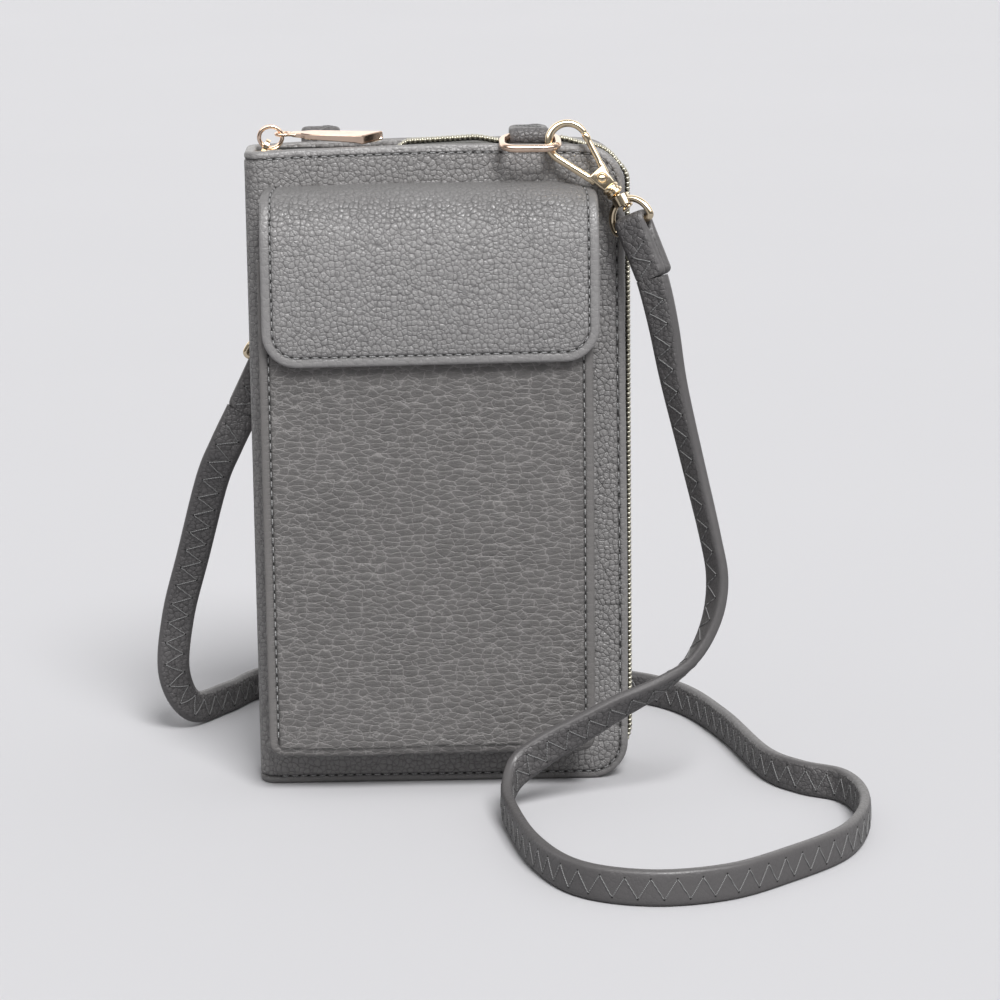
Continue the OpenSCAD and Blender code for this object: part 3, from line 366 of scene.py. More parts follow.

# %% [markdown]
# The pouch has five leathers of this one kind. The cover's and the flap's have the deepest
# pebbles and the most gloss, and the flap's is the palest: its colour is painted paler than
# the cover's, as painted light. The pocket's is darker, with long pebbles and creases painted
# pale, partly as rub wear and partly as a painted highlight. The strap's edges are nearly
# smooth, and the pocket's walls are thin leather with shallow pebbles.

# %% The five leathers
GREY = (0.282, 0.273, 0.271)
cover_leather = leather("cover_leather", GREY, 0.00155, 0.00062, rough=0.31,
                        painted_crease_tone=0.74, painted_top_highlight=1.2)
# The flap's colour is painted paler than the cover's: painted light.
flap_leather_painted_lit = leather("flap_leather_painted_lit", (0.335, 0.326, 0.325), 0.00145, 0.00060, rough=0.30,
                       painted_crease_tone=0.78, painted_top_highlight=1.2)
# The pocket's pale creases: partly rub wear, partly a painted highlight along the crease lips.
pocket_leather = leather("pocket_leather", (0.140, 0.134, 0.131), 0.0018, 0.00042,
                         (0.46, 1, 1.1), rough=0.42, painted_crease_tone=2.35, warp=1.2, hairs=0.14,
                         thin=0.085, painted_top_highlight=1.0)
strap_leather = leather("strap_leather", (0.142, 0.136, 0.137), 0.0016, 0.00045, rough=0.38,
                        smooth_rim=0.9, painted_crease_tone=0.6)
gusset_leather = leather("gusset_leather", (0.19, 0.182, 0.181), 0.0016, 0.00022)

# %% [markdown]
# ## Thread, cloth and tape
# The seams are sewn with a twisted grey thread, and each stitch goes down into a needle hole,
# painted near black as the hole's shade. The zip tape and the linings are woven. Two crossed
# waves make a weave: where one thread is up the other is down, and their product gives the
# over and under.

# %% Thread, cloth and tape
def twisted_thread(start, dark=0.24, light=0.66):
    """Two plies that wind round each other, between a dark and a light grey."""
    place = start.node("TexCoord", out="Object")
    ply = start.node("TexWave", {"bands_direction": "DIAGONAL"},
                     {"Vector": place, "Scale": 900, "Distortion": 1.5})
    fluff = start.node("TexNoise", {}, {"Vector": place, "Scale": 1800})
    return {
        "Base Color": (ply * 0.7 + fluff * 0.3).tint((dark,) * 3, (light,) * 3),
        "Roughness": fluff * 0.2 + 0.45,
        "Normal": ply.bump(0.00008),
    }


# A needle hole is painted near black: painted shade in the hole.
def painted_hole_shade(start):
    place = start.node("TexCoord", out="Object")
    hole_shade_noise = start.node("TexNoise", {}, {"Vector": place, "Scale": 3000})
    return {"Base Color": hole_shade_noise.tint((0.012, 0.012, 0.012), (0.035, 0.034, 0.034))}


def weave(name, dark, light, pitch, depth, rough):
    """A plain weave with that pitch from thread to thread and that depth, in metres."""
    def build(start):
        place = start.node("TexCoord", out="Object")
        scale = 1 / pitch / 2
        up = start.node("TexWave", {"bands_direction": "Z"}, {"Vector": place, "Scale": scale})
        over = start.node("TexWave", {"bands_direction": "X"},
                          {"Vector": place, "Scale": scale})
        back = start.node("TexWave", {"bands_direction": "Y"},
                          {"Vector": place, "Scale": scale})
        cross = up * over + (1 - up) * back
        wear = start.node("TexNoise", {}, {"Vector": place, "Scale": 160, "Detail": 3})
        return {
            "Base Color": (cross * 0.7 + wear * 0.3).tint(dark, light),
            "Roughness": (1 - cross) * 0.1 + rough,
            "Normal": cross.bump(depth),
        }

    return finish(name, build, Sheen_Weight=0.15)


thread = finish("thread", twisted_thread)
strap_thread = finish("strap_thread", lambda start: twisted_thread(start, 0.13, 0.42))
hole = finish("painted_hole_shade", painted_hole_shade, Roughness=0.9)
tape_cloth = weave("tape_cloth", (0.085, 0.083, 0.078), (0.25, 0.245, 0.235), 0.0007,
                   0.00018, 0.7)
lining_cloth = weave("lining_cloth", (0.066, 0.066, 0.068), (0.086, 0.086, 0.088), 0.0009,
                     0.00006, 0.75)
board_card = weave("board_card", (0.30, 0.27, 0.22), (0.42, 0.38, 0.32), 0.0014, 0.00003, 0.85)

# %% [markdown]
# ## Gold metal
# The hooks and the zip pull are cast zinc with a pale gold plating, and the two plain rings
# are a pinker gold. Plating is a pure metal to the shader: the colour tints the reflection.
# Fine scratches and the ripple left by polishing keep the reflection from being a mirror.

# %% Gold metal
def plated(name, colour, rough, ripple=0.00003):
    """A plated and polished metal. Where it is worn it is a little darker and rougher."""
    def build(start):
        place = start.node("TexCoord", out="Object")
        cast = start.node("TexNoise", {}, {"Vector": place, "Scale": 260, "Detail": 2})
        scratch = start.node("TexNoise", {}, {"Vector": start.node(
            "VectorMath", {"operation": "MULTIPLY"}, {0: place, 1: (1, 1, 14)}),
            "Scale": 900, "Detail": 2})
        worn = cast.step(0.35, 0.8)
        deep = tuple(v * 0.86 for v in colour)
        return {
            "Base Color": worn.tint(colour, deep),
            "Roughness": scratch.step(0.45, 0.75) * 0.12 + worn * 0.05 + rough,
            "Normal": (cast + scratch * 0.08).bump(ripple),
        }

    return finish(name, build, Metallic=1.0)


gold = plated("gold", (0.95, 0.80, 0.58), 0.05)
rose_gold = plated("rose_gold", (0.96, 0.73, 0.58), 0.05)
tooth_metal = plated("tooth_metal", (0.54, 0.52, 0.44), 0.34)
steel = plated("steel", (0.62, 0.60, 0.58), 0.22)

# %% [markdown]
# ## The strap
# The strap is one flat band, ten millimetres wide, of leather rolled round a core, so that
# its edges are smooth and round. It leaves the right-hand hook, swings out beside the
# wallet, crosses in front of it, lies on its edge in a loop on the ground, runs behind the
# wallet and climbs to the left-hand hook. A curve object can't say which way a flat band
# faces, so I keep two rows of numbers for each place: the place itself, and the way that the
# width points. One smooth rule runs through both. The places and the two joints, where the
# band goes into its folded ends, are the same as in the CAD model.

# %% The strap's route
STRAP_W, STRAP_T = 10, 3.4
right_joint = np.array([60.889, -19.255, 153.269])
right_across, right_down = np.array([0.770, -0.498, 0.399]), np.array([0.357, -0.182, -0.916])
left_joint = np.array([-59.790, 20.069, 108.467])
left_across, left_down = np.array([0.899, 0, -0.438]), np.array([-0.438, 0, -0.899])
ON_EDGE = (0, 0, 1)
GROUND_Z = 5.2
on_ground = [
    (18, -59), (24, -91), (35, -114), (54, -123), (75, -119), (93, -105), (109, -88),
    (117, -69), (119, -50), (115, -34), (104, -25), (95, -10), (86, 30), (75, 61),
    (58, 78), (26, 94), (-20, 99), (-56, 92), (-70, 72),
]
places = [
    ((64, -20, 140), (0.7, -0.6, 0.2)), ((67, -20, 123), (0.6, -0.8, 0.1)),
    ((72, -22, 101), (0.5, -0.9, 0.1)), ((77, -26, 79), (0.4, -0.9, 0.1)),
    ((79, -28, 66), (0.4, -0.9, 0.1)), ((77, -30, 54), (0.3, -0.9, 0.2)),
    ((71, -32, 43), (0.2, -0.9, 0.4)), ((62, -33, 36), (0, -0.8, 0.6)),
    ((50, -34, 30), (-0.1, -0.6, 0.8)), ((39, -35, 24), (-0.1, -0.4, 0.9)),
    ((28, -36, 18), (-0.1, -0.2, 1)), ((20, -38, 12), (0, -0.1, 1)), ((17, -46, 7), ON_EDGE),
    *[((x, y, GROUND_Z), ON_EDGE) for x, y in on_ground],
    ((-80, 56, 7), (0.4, 0.6, 0.7)),
    ((-85, 48, 20), (0.9, 0.3, 0.1)), ((-83, 45, 39), (1, 0.1, -0.1)),
    ((-77, 38, 61), (1, 0.1, -0.2)), ((-70, 27, 86), (0.9, 0.1, -0.4)),
    ((-65, 21, 98), (0.9, 0, -0.4)),
]
LEAD = 10
knots = np.array(
    [(right_joint - LEAD * right_down, right_across), (right_joint, right_across), *places,
     (left_joint, left_across), (left_joint - LEAD * left_down, left_across)], float)


def through(knots, t):
    """The smooth curve through the knots, at t spans from the second one."""
    j = min(int(t), len(knots) - 4)
    a, b, c, d = knots[j:j + 4]
    t -= j
    return (2 * b + (c - a) * t + (2 * a - 5 * b + 4 * c - d) * t**2
            + (3 * b - a - 3 * c + d) * t**3) / 2


fine_line = np.array([through(knots, t) for t in np.linspace(0, len(knots) - 3, 3000)])

# %% [markdown]
# A band needs three ways at each place: along, across and out of its face. I walk the line in
# equal steps, take along from the neighbours, square the width to it, and cross the two.

# %% Frames along a band
def frames(line, across, step=None):
    """Places, widths and faces of a band, along a line of points with its width ways."""
    line, across = np.array(line, float), np.array(across, float)
    if step:
        run = distances(line)
        at = np.linspace(0, run[-1], max(int(run[-1] / step), 2))
        line = np.stack([np.interp(at, run, line[:, k]) for k in range(3)], 1)
        across = np.stack([np.interp(at, run, across[:, k]) for k in range(3)], 1)
    along = unit(np.gradient(line, axis=0))
    wide = unit(across - (across * along).sum(1)[:, None] * along)
    return line, wide, np.cross(wide, along)


strap_frames = frames(fine_line[:, 0], fine_line[:, 1], 1.5)
print("places along the strap:", len(strap_frames[0]))

# %% [markdown]
# `band` sweeps a rounded section down such frames. It also serves the folded strap ends and
# the two tabs, which are cut from the same strap. The section is a little hollow in the
# middle, where the stitches hold the leather down. Near the ground one face of the strap is
# rubbed smooth, so its pebbles fade there as they do at the round edges.

# %% A band's skin
def section(hollow=0.068, sides=28):
    """A flat section with round edges, as shares of the half width and half thickness."""
    points = []
    for i in range(sides):
        a = 2 * math.pi * (i + 0.5) / sides
        c, s = math.cos(a), math.sin(a)
        u = math.copysign(abs(c) ** 0.42, c)
        v = math.copysign(abs(s) ** 0.62, s)
        points.append((u, v * (1 - hollow * bell(u / 0.55))))
    return points


BAND = section()


def mark(piece, values, attribute="rim"):
    """Where the leather is smooth, or sewn and painted darker as shade, from 0 to 1 for
    each point of the mesh.
    """
    made = piece.data.attributes.new(attribute, "FLOAT", "POINT")
    made.data.foreach_set("value", np.array(values, np.float32))


def paint_seam_shade(piece, profile, at, row_length, half=0.7):
    """Painted shade: a darker line under the stitches, at one distance in from the edge."""
    mark(piece, [bell((row[0] - at) / half) for row in profile for _ in range(row_length)],
         "seam")


RUB_Z, RUB_FADE, RUBBED = 60, 60, 0.9


def band(name, line, wide, face, half_w, half_t, ends=0.5, smooth_face=0):
    """A skin round a band. half_w and half_t may change along it, and its ends are rounded.
    smooth_face is 1 or -1 for a face that is rubbed smooth where it is near the ground."""
    count = len(line)
    half_w = np.broadcast_to(half_w, count)
    half_t = np.broadcast_to(half_t, count)
    rows = [
        [line[i] + u * half_w[i] * wide[i] + v * half_t[i] * face[i] for u, v in BAND]
        for i in range(count)
    ]
    if ends:
        for row, i, way in ((0, 0, -1), (-1, -1, 1)):
            along = np.cross(face[i], wide[i]) * way
            lip = [line[i] + 0.8 * u * half_w[i] * wide[i] + 0.7 * v * half_t[i] * face[i]
                   + ends * along for u, v in BAND]
            rows.insert(0 if way < 0 else len(rows), lip)
    made = skin(name, rows, cap=True)
    edge = [(ease((abs(u) - 0.72) / 0.2), v * smooth_face > 0) for u, v in BAND]
    rubbed = [RUBBED * (1 - ease((place[2] - RUB_Z) / RUB_FADE)) for place in line]
    end_rows = (0, len(rows) - 1) if ends else ()
    mark(made, [max(e, i in end_rows, rubs and rubbed[min(i, count - 1)])
                for i in range(len(rows)) for e, rubs in edge])
    return made


strap = band("strap_band", *strap_frames, STRAP_W / 2, STRAP_T / 2, ends=0, smooth_face=-1)
finish_piece(strap, "wallet", strap_leather, "strap_leather", "strap")

# %% [markdown]
# ## Stitches
# The seams show as geometry, because they catch the light and cast small shadows. A stitch is
# a thin thread that comes up out of one needle hole, lies on the leather and goes down the
# next. `threads` sweeps a six-sided thread down each of many short lines and joins them all
# in one mesh, which is far lighter than hundreds of objects.

# %% Threads and needle holes
THREAD_R = 0.17
HOLE_PROFILE = [(0.3, 0.02), (0.22, 0.07), (0.0001, 0.08)]


def threads(name, lines, holes, body, yarn=thread):
    """One mesh of many short threads, and a small pit at each needle hole, painted near black
    as the hole's shade. A line is its places with their ways out of the leather, and a hole is
    place, way along and way out."""
    points, faces, sides = [], [], 6
    ring = [(math.cos(a), math.sin(a)) for a in np.linspace(0, 2 * math.pi, sides + 1)[:-1]]
    for line, out in lines:
        line, out = np.array(line, float), np.array(out, float)
        along = unit(np.gradient(line, axis=0))
        side = unit(np.cross(along, out))
        top = np.cross(side, along)
        faces += joined(len(points), len(line), sides, cap=True)
        for p, s, t in zip(line, side, top):
            points += [(p + THREAD_R * (c * s + q * t)) * MM for c, q in ring]
    thread_faces = len(faces)
    for at, way, out in holes:
        at, way, out = (np.array(v, float) for v in (at, way, out))
        side = np.cross(way, out)
        faces += joined(len(points), len(HOLE_PROFILE), sides)
        for r, h in HOLE_PROFILE:
            points += [(at + r * (c * 1.1 * way + q * side) + h * out) * MM for c, q in ring]
    piece = mesh_piece(name, points, faces, 70)
    piece.data.materials.append(yarn)
    piece.data.materials.append(hole)
    for polygon in list(piece.data.polygons)[thread_faces:]:
        polygon.material_index = 1
    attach(piece, body)
    print(f"{name}: {len(lines)} stitches")
    return piece


print("a thread is", 2 * THREAD_R, "mm thick")

# %% [markdown]
# The strap carries a zigzag on both faces, a little wider than half the band. Its stitches go
# from side to side in equal legs. A leg is drawn once, as its marks: how far along it, from 0
# to 1, and how high over the leather, so that both of its ends dive into their holes.

# %% Zigzag seams
ZIGZAG_MARKS = [(0.0, -0.22), (0.07, 0.02), (0.3, 0.13), (0.5, 0.15), (0.7, 0.13),
                (0.93, 0.02), (1.0, -0.22)]
HOLE_LIFT = -ZIGZAG_MARKS[-1][1]


def zigzag(name, place_frames, half_t, leg=3.4, reach=2.9, spans=((3, None),),
           sides=(-1, 1)):
    """Zigzag threads on the faces of a band, with a needle hole at each corner."""
    line, wide, face = place_frames
    run = distances(line)
    half_t = np.broadcast_to(half_t, len(line))

    def at(s, across, side, lift):
        """A place on a face, that far along and across, which follows the hollow."""
        i = min(int(np.searchsorted(run, s)), len(run) - 1)
        j = max(i - 1, 0)
        f = 0 if i == j else (s - run[j]) / (run[i] - run[j])
        place, w, n = ((1 - f) * v[j] + f * v[i] for v in (line, wide, face))
        deep = half_t[i] * (1 - 0.07 * bell(across / 2.75)) + lift
        return place + across * w + side * deep * n, side * n

    lines, holes = [], []
    for side, (start, stop) in itertools.product(sides, spans):
        s, way = start, 1
        while s + leg <= (stop or run[-1] - start):
            leg_line = [at(s + m * leg, way * reach * (2 * m - 1), side, h)
                        for m, h in ZIGZAG_MARKS]
            lines.append(([p for p, n in leg_line], [n for p, n in leg_line]))
            place, out = leg_line[-1]
            along = leg_line[-1][0] - leg_line[-2][0]
            along -= along.dot(out) * out
            holes.append((place + HOLE_LIFT * out, along / np.linalg.norm(along), out))
            s, way = s + leg, -way
    return threads(name, lines, holes, "wallet", strap_thread)


strap_zigzag = zigzag("strap_zigzag", strap_frames, STRAP_T / 2)

# %% [markdown]
# ## Strap ends and tabs
# Each end of the strap is folded over the bar of its hook and sewn back on itself. The two
# tabs are short pieces of the same band: each comes up out of the cover, bends over and
# wraps the bar of a ring. All four are one thing to model, a band that follows a bent
# profile and gets thinner where it is wrapped, so one function makes them all.

# %% Folded bands
END_ROUND = 1.4


def arc(centre, radius, start, stop, half_t, count=12):
    """Rows of a profile round a bar: out, up and half thickness. Angles are in degrees."""
    return [(centre[0] + radius * math.cos(math.radians(a)),
             centre[1] + radius * math.sin(math.radians(a)), half_t)
            for a in np.linspace(start, stop, count)]


def folded_band(name, profile, origin, across, out, up, half_w, node):
    """A band along a profile of out, up and half thickness, with its corners rounded."""
    profile = np.array(profile, float)
    line = np.array(origin) + profile[:, :1] * out + profile[:, 1:2] * up
    run = distances(line)
    place_frames = frames(line, [across] * len(line), 0.5)
    fine_run = np.linspace(0, run[-1], len(place_frames[0]))
    thick = np.interp(fine_run, run, profile[:, 2])
    to_end = np.clip(END_ROUND - np.minimum(fine_run, run[-1] - fine_run), 0, END_ROUND)
    width = half_w - END_ROUND + np.sqrt(END_ROUND ** 2 - to_end ** 2 * 0.85)
    made = band(name, *place_frames, width, thick, 0.3)
    finish_piece(made, "wallet", strap_leather, "strap_leather", node)
    return made, place_frames, thick


print("places in half a turn round a bar:", len(arc((0, 0), 1, 0, 180, 1)))

# %% [markdown]
# A folded end stands on the strap's joint. Its profile is drawn about the middle of the bar:
# up one side, over the bar and down the other side, twice as thick as where it is wrapped.
# Both of its ends are sewn with a few legs of the zigzag.

# %% The strap's two folded ends
BAR_HEIGHT, BAR_OUT, SEWN_FROM, SEWN_TO = 16, 1.7, 1.2, 11


def strap_end(name, joint, across, down, node):
    """One end, folded up round its bar and down again from where it joins the strap."""
    up = -down / np.linalg.norm(down)
    across = across / np.linalg.norm(across)
    out = np.cross(up, across)
    bar = joint + BAR_OUT * out + BAR_HEIGHT * up
    rise = [(-BAR_OUT, -15.9, 1.62), (-BAR_OUT, -5.6, 1.62), (-1.8, -3.4, 1.45),
            (-2.0, -1.4, 1.1)]
    fall = [(-o, u, t) for o, u, t in reversed(rise)]
    profile = rise + arc((0, 0.53), 2.1, 180, 0, 0.95) + fall
    made, place_frames, thick = folded_band(
        name, profile, bar, across, out, up, STRAP_W / 2 - 0.1, node)
    total = distances(place_frames[0])[-1]
    spans = ((SEWN_FROM, SEWN_TO), (total - SEWN_TO, total - SEWN_FROM))
    sewn = zigzag(name + "_thread", place_frames, thick, 3.1, 2.7, spans, (1,))
    return made, sewn


end_pieces = [
    *strap_end("strap_end_right_fold", right_joint, right_across, right_down,
               "strap_end_right"),
    *strap_end("strap_end_left_fold", left_joint, left_across, left_down, "strap_end_left"),
]

# %% [markdown]
# The right-hand tab comes up at the back of the zip and reaches forward over it, so that its
# ring hangs at the front. The left-hand tab bends the other way and lies down the back of the
# wallet. Both start inside the back cover. `WALLET_Y` is the middle of the wallet, front to
# back: it stands that far behind the frame's own middle.

# %% Tabs for the rings
WALLET_Y = 4.5815
TAB_HALF_W = 5.65
cover_rise = [(9.0, 182.2, 0.6), (9.0, 189.4, 0.62)]
right_profile = (
    cover_rise + [(8.8, 190.6, 0.9), (8.3, 191.7, 1.25), (7.5, 192.6, 1.42),
                  (6.5, 193.05, 1.46), (0, 193.1, 1.46), (-2.6, 193.2, 1.4),
                  (-4.2, 193.7, 1.05)]
    + arc((-6, 192.4), 1.975, 72, 322, 0.7, 16) + [(-3.4, 191.35, 0.45)]
)
left_profile = (
    cover_rise + arc((12.5, 190.15), 2.6, 168, 0, 1.45)
    + [(15.1, 186, 1.46), (15.1, 176, 1.46), (15.1, 168.5, 1.44), (15.45, 166.8, 1.1)]
    + arc((13.9, 165), 1.975, 12, -238, 0.7, 16)
)
TAB_LEG, TAB_REACH = 3.0, 3.4


def tab(word, profile, x):
    """One tab. It returns the frames and the half thickness that its seam needs."""
    _, place_frames, thick = folded_band(
        f"tab_{word}_band", profile, (x, WALLET_Y, 0), (1, 0, 0), np.array([0, 1, 0]),
        np.array([0, 0, 1]), TAB_HALF_W, f"tab_{word}")
    return place_frames, thick


right_tab, left_tab = tab("right", right_profile, 26.5), tab("left", left_profile, -34.3)
zigzag("tab_right_thread", *right_tab, TAB_LEG, TAB_REACH, ((9.6, 21),), (-1,))
zigzag("tab_left_thread", *left_tab, TAB_LEG, TAB_REACH, ((9.0, 36),), (1,))

# %% [markdown]
# ## The cover
# The cover is one sheet of leather over two boards. It wraps the front, the rounded spine and
# the back, and its edge is turned in and pressed, with a row of stitches in a shallow groove.
# I draw that edge as a profile of two numbers, how far in from the edge and how proud, and
# sweep it round the whole outline. More loops of the same kind, smaller and smaller, carry
# the skin on until it closes. So the edge, the groove and the field are one smooth mesh.

# %% The cover's loops
COVER_RIGHT, COVER_H, COVER_HALF, COVER_CORNER = 54, 190, 11, 11
SPINE_X, SPINE_R = -51, 5
TOP_POINTS, CORNER_POINTS, SIDE_POINTS = 90, 16, 140
COVER_SEAM = 2.35
COVER_PROFILE = [
    (2.2, -3.2), (1.0, -3.2), (0.5, -3.1), (0.15, -2.8), (0, -2.3), (0, -1.2), (0.12, -0.7),
    (0.45, -0.25), (1.0, -0.03), (1.5, 0), (1.9, -0.06), (2.15, -0.26), (2.35, -0.38),
    (2.55, -0.26), (2.8, -0.03), (3.3, 0.05), (4.2, 0.03), (6, 0), (9, 0), (13, 0), (19, 0),
    (26, 0), (34, 0), (43, 0), (53, 0), (64, 0), (76, 0), (86, 0), (94, 0),
]


def worn_cover(x, z, side, h):
    """A place on the front, side 1, or the back, side -1, with its small unevenness. The top
    edge is higher in the middle than at its ends, and its leather leans in over the zip."""
    wave = noise.noise(Vector((x * 0.045, z * 0.03, side * 7))) * 0.3
    top = ease((z - 150) / 40)
    z += top * (0.9 * bell((x - 6) / 54) - 0.5 * ease((-x - 38) / 16)
                - 0.8 * ease((x - 38) / 16))
    lean = 1.15 * min(max((z - 177) / 13, 0), 1) ** 2 * (1 if side > 0 else 0.5)
    h -= lean * ease(1 + h / 3)
    x += 0.25 * ease((x - 40) / 14) * math.sin(z / 31)
    return [x, WALLET_Y - side * (COVER_HALF + h + wave * bell((z - 95) / 95)), z]


def cover_u(d):
    """From the spine along the top, down the free side and back along the foot, d mm in."""
    r = max(COVER_CORNER - d, 0.3)
    cx, cz = COVER_RIGHT - d - r, COVER_H - d - r
    line = [(x, COVER_H - d) for x in np.linspace(SPINE_X, cx, TOP_POINTS, endpoint=False)]
    line += [(cx + r * math.sin(a), cz + r * math.cos(a))
             for a in np.linspace(0, math.pi / 2, CORNER_POINTS, endpoint=False)]
    line += [(COVER_RIGHT - d, z) for z in np.linspace(cz, COVER_H / 2, SIDE_POINTS // 2)]
    return line + [(x, COVER_H - z) for x, z in reversed(line)]


def spine_turn(z, h):
    """From the front round the spine to the back at one height."""
    r = SPINE_R + h
    half = COVER_HALF - SPINE_R
    quarter = [(r * math.sin(a), half + r * math.cos(a))
               for a in np.linspace(0, math.pi / 2, 9)[1:]]
    turn = quarter + [(r, half * s) for s in (0.5, 0, -0.5)]
    turn += [(a, -b) for a, b in reversed(quarter)]
    sag = 0.5 * ease((z - 150) / 40)
    return [[SPINE_X - a, WALLET_Y - b, z - sag] for a, b in turn]


print("places in one loop:", 2 * (len(cover_u(0)) + len(spine_turn(0, 0))))

# %% [markdown]
# One loop goes along the front, round the spine at the foot, along the back and round the
# spine at the top. What the last loop leaves open is a long slit across front, spine and back.
# Its upper lip and its lower lip have the same number of points, so quads join them in pairs.

# %% The cover's skin
cover_rows = []
for d, h in COVER_PROFILE:
    line = cover_u(d)
    cover_rows.append(
        [worn_cover(x, z, 1, h) for x, z in line] + spine_turn(d, h)
        + [worn_cover(x, z, -1, h) for x, z in reversed(line)]
        + spine_turn(COVER_H - d, h)[::-1])
n, m, loop_points = len(cover_u(0)), len(spine_turn(0, 0)), len(cover_rows[0])
last = (len(cover_rows) - 1) * loop_points
high = [*range(n // 2 - 1, -1, -1), *range(loop_points - 1, n + m + n // 2 - 1, -1)]
low = list(range(n // 2, n + m + n // 2))
closing = [tuple(last + i for i in (high[k], high[k + 1], low[k + 1], low[k]))
           for k in range(len(low) - 1)]
cover = skin("cover_skin", cover_rows, extra=closing)
mark(cover, [1 - ease((d - 1.2) / 1.2) for d, h in COVER_PROFILE for _ in cover_rows[0]])
# Painted shade along the stitched groove.
paint_seam_shade(cover, COVER_PROFILE, COVER_SEAM, loop_points)
finish_piece(cover, "wallet", cover_leather, "leather", "outer_cover")

# %% [markdown]
# The cover's seam runs in the groove along the top, the free side and the foot, on the front
# and on the back, and stops short of the spine. The stitches are short and straight. On the
# right side of the real pouch they are longer than along the top, and no two are quite alike,
# so each one gets a small nudge from noise that is the same in every run. A stitch's marks go
# from -1 to 1 over its length, and its ends dive below the leather.

# %% Straight stitches in a groove
GROOVE = -0.3
STRAIGHT_MARKS = [(-1.15, -0.25), (-0.9, 0.02), (-0.5, 0.14), (0, 0.17), (0.5, 0.14),
                  (0.9, 0.02), (1.15, -0.25)]


def straight_row(name, line, outs, pitch, body, dash=0.5, from_end=2):
    """Short straight stitches along a line of places, each between two needle holes. dash
    is the share of the pitch that a stitch covers."""
    line, outs = np.array(line, float), np.array(outs, float)
    run = distances(line)
    many = int((run[-1] - 2 * from_end) / pitch)

    def at(s, lift):
        """A place that far along the line, lifted out of the leather, and its way out."""
        place, out = (np.array([np.interp(s, run, v[:, k]) for k in range(3)])
                      for v in (line, outs))
        return place + lift * out, out

    lines, holes = [], []
    for i in range(many + 1):
        s = from_end + i * (run[-1] - 2 * from_end) / many
        nudge = noise.noise(Vector((i * 0.7, len(name), 0))) * 0.25
        (place, out), (ahead_of, _) = at(s, 0.02), at(s + 0.3, 0.02)
        holes.append((place, (ahead_of - place) / np.linalg.norm(ahead_of - place), out))
        if i < many:
            middle, half = s + pitch / 2, pitch * dash / 2 + nudge * 0.3
            dash_line = [at(middle + m * half, h) for m, h in STRAIGHT_MARKS]
            lines.append(([p for p, o in dash_line], [o for p, o in dash_line]))
    return threads(name, lines, holes, body)


groove = cover_u(COVER_SEAM)
first = TOP_POINTS + CORNER_POINTS
second = len(groove) - first
for side, word in ((1, "front"), (-1, "back")):
    seam = [worn_cover(x, z, side, GROOVE) for x, z in groove]
    for part, piece, pitch, dash in (
            ("top", seam[:first], 2.6, 0.5), ("side", seam[first:second], 4.1, 0.42),
            ("foot", seam[second:], 2.7, 0.5)):
        straight_row(f"cover_{word}_{part}_thread", piece, [(0, -side, 0)] * len(piece),
                     pitch, "wallet", dash, from_end=1.2)

# %% [markdown]
# ## The flap
# The flap comes out of the cover level with its upper edge, folds over and hangs down the
# front. I treat it as a flat pattern with two numbers, x across and l up from its lower
# edge, and bend that pattern over the fold only at the last step. `BEND` is that fold seen
# from the side, as depth in front of the wallet's middle and height. Loops that are open at
# the cover run round the three free sides, with the same kind of edge and groove as the
# cover's.

# %% The flap's pattern
FLAP_LEFT, FLAP_RIGHT, FLAP_CORNER = -51.3, 45.7, 10
FLAP_MIDDLE = (FLAP_LEFT + FLAP_RIGHT) / 2
FLAP_SEAM = 3.0
FLAP_PROFILE = [
    (1.6, -2.6), (0.7, -2.6), (0.25, -2.4), (0.03, -1.9), (0, -1.2), (0.1, -0.6), (0.4, -0.2),
    (0.9, -0.02), (1.6, 0.03), (2.4, -0.02), (2.75, -0.22), (3.0, -0.4), (3.25, -0.22),
    (3.6, 0.02), (4.3, 0.08), (5.2, 0.05), (7, 0), (10, 0), (14, 0), (19, 0), (25, 0),
    (32, 0), (40, 0), (48, 0),
]
BEND = [(27.5, 129.5), (27.5, 150), (27.3, 159), (26.5, 166.5), (25.0, 172), (22.6, 176.2),
        (19.2, 178.7), (15.2, 179.8), (11, 180.1), (10.6, 180.1)]
bend_knots = np.array([BEND[0], *BEND, BEND[-1]], float)
bend_line = np.array([through(bend_knots, t) for t in np.linspace(0, len(BEND) - 1, 400)])
bend_run = distances(bend_line)
FLAP_END = bend_run[-1]
bend_way = np.gradient(bend_line, axis=0)
bend_way /= np.linalg.norm(bend_way, axis=1)[:, None] + 1e-9


def on_flap(x, l, h):
    """A place on the bent flap and the way out of its leather there. The flap is full in its
    middle, the ends of its shoulder drop, and its foot isn't quite level."""
    depth, z, go_depth, go_z = (
        np.interp(l, bend_run, v) for v in (*bend_line.T, *bend_way.T))
    size = math.hypot(go_depth, go_z)
    out = np.array([0, -go_z, -go_depth]) / size
    crown = 0.9 * bell((x - FLAP_MIDDLE) / 60) * bell((l - 24) / 30)
    wave = noise.noise(Vector((x * 0.05, l * 0.05, 3))) * 0.3
    drop = ease((l - 38) / 14) * (0.7 * ease((-x - 14) / 36) + 1.4 * ease((x - 30) / 16))
    skew = 0.45 * x / 48 * (1 - ease(l / 30))
    place = np.array([x, WALLET_Y - depth, z - drop + skew])
    return place + (h + crown + wave * bell((l - 26) / 40)) * out, out


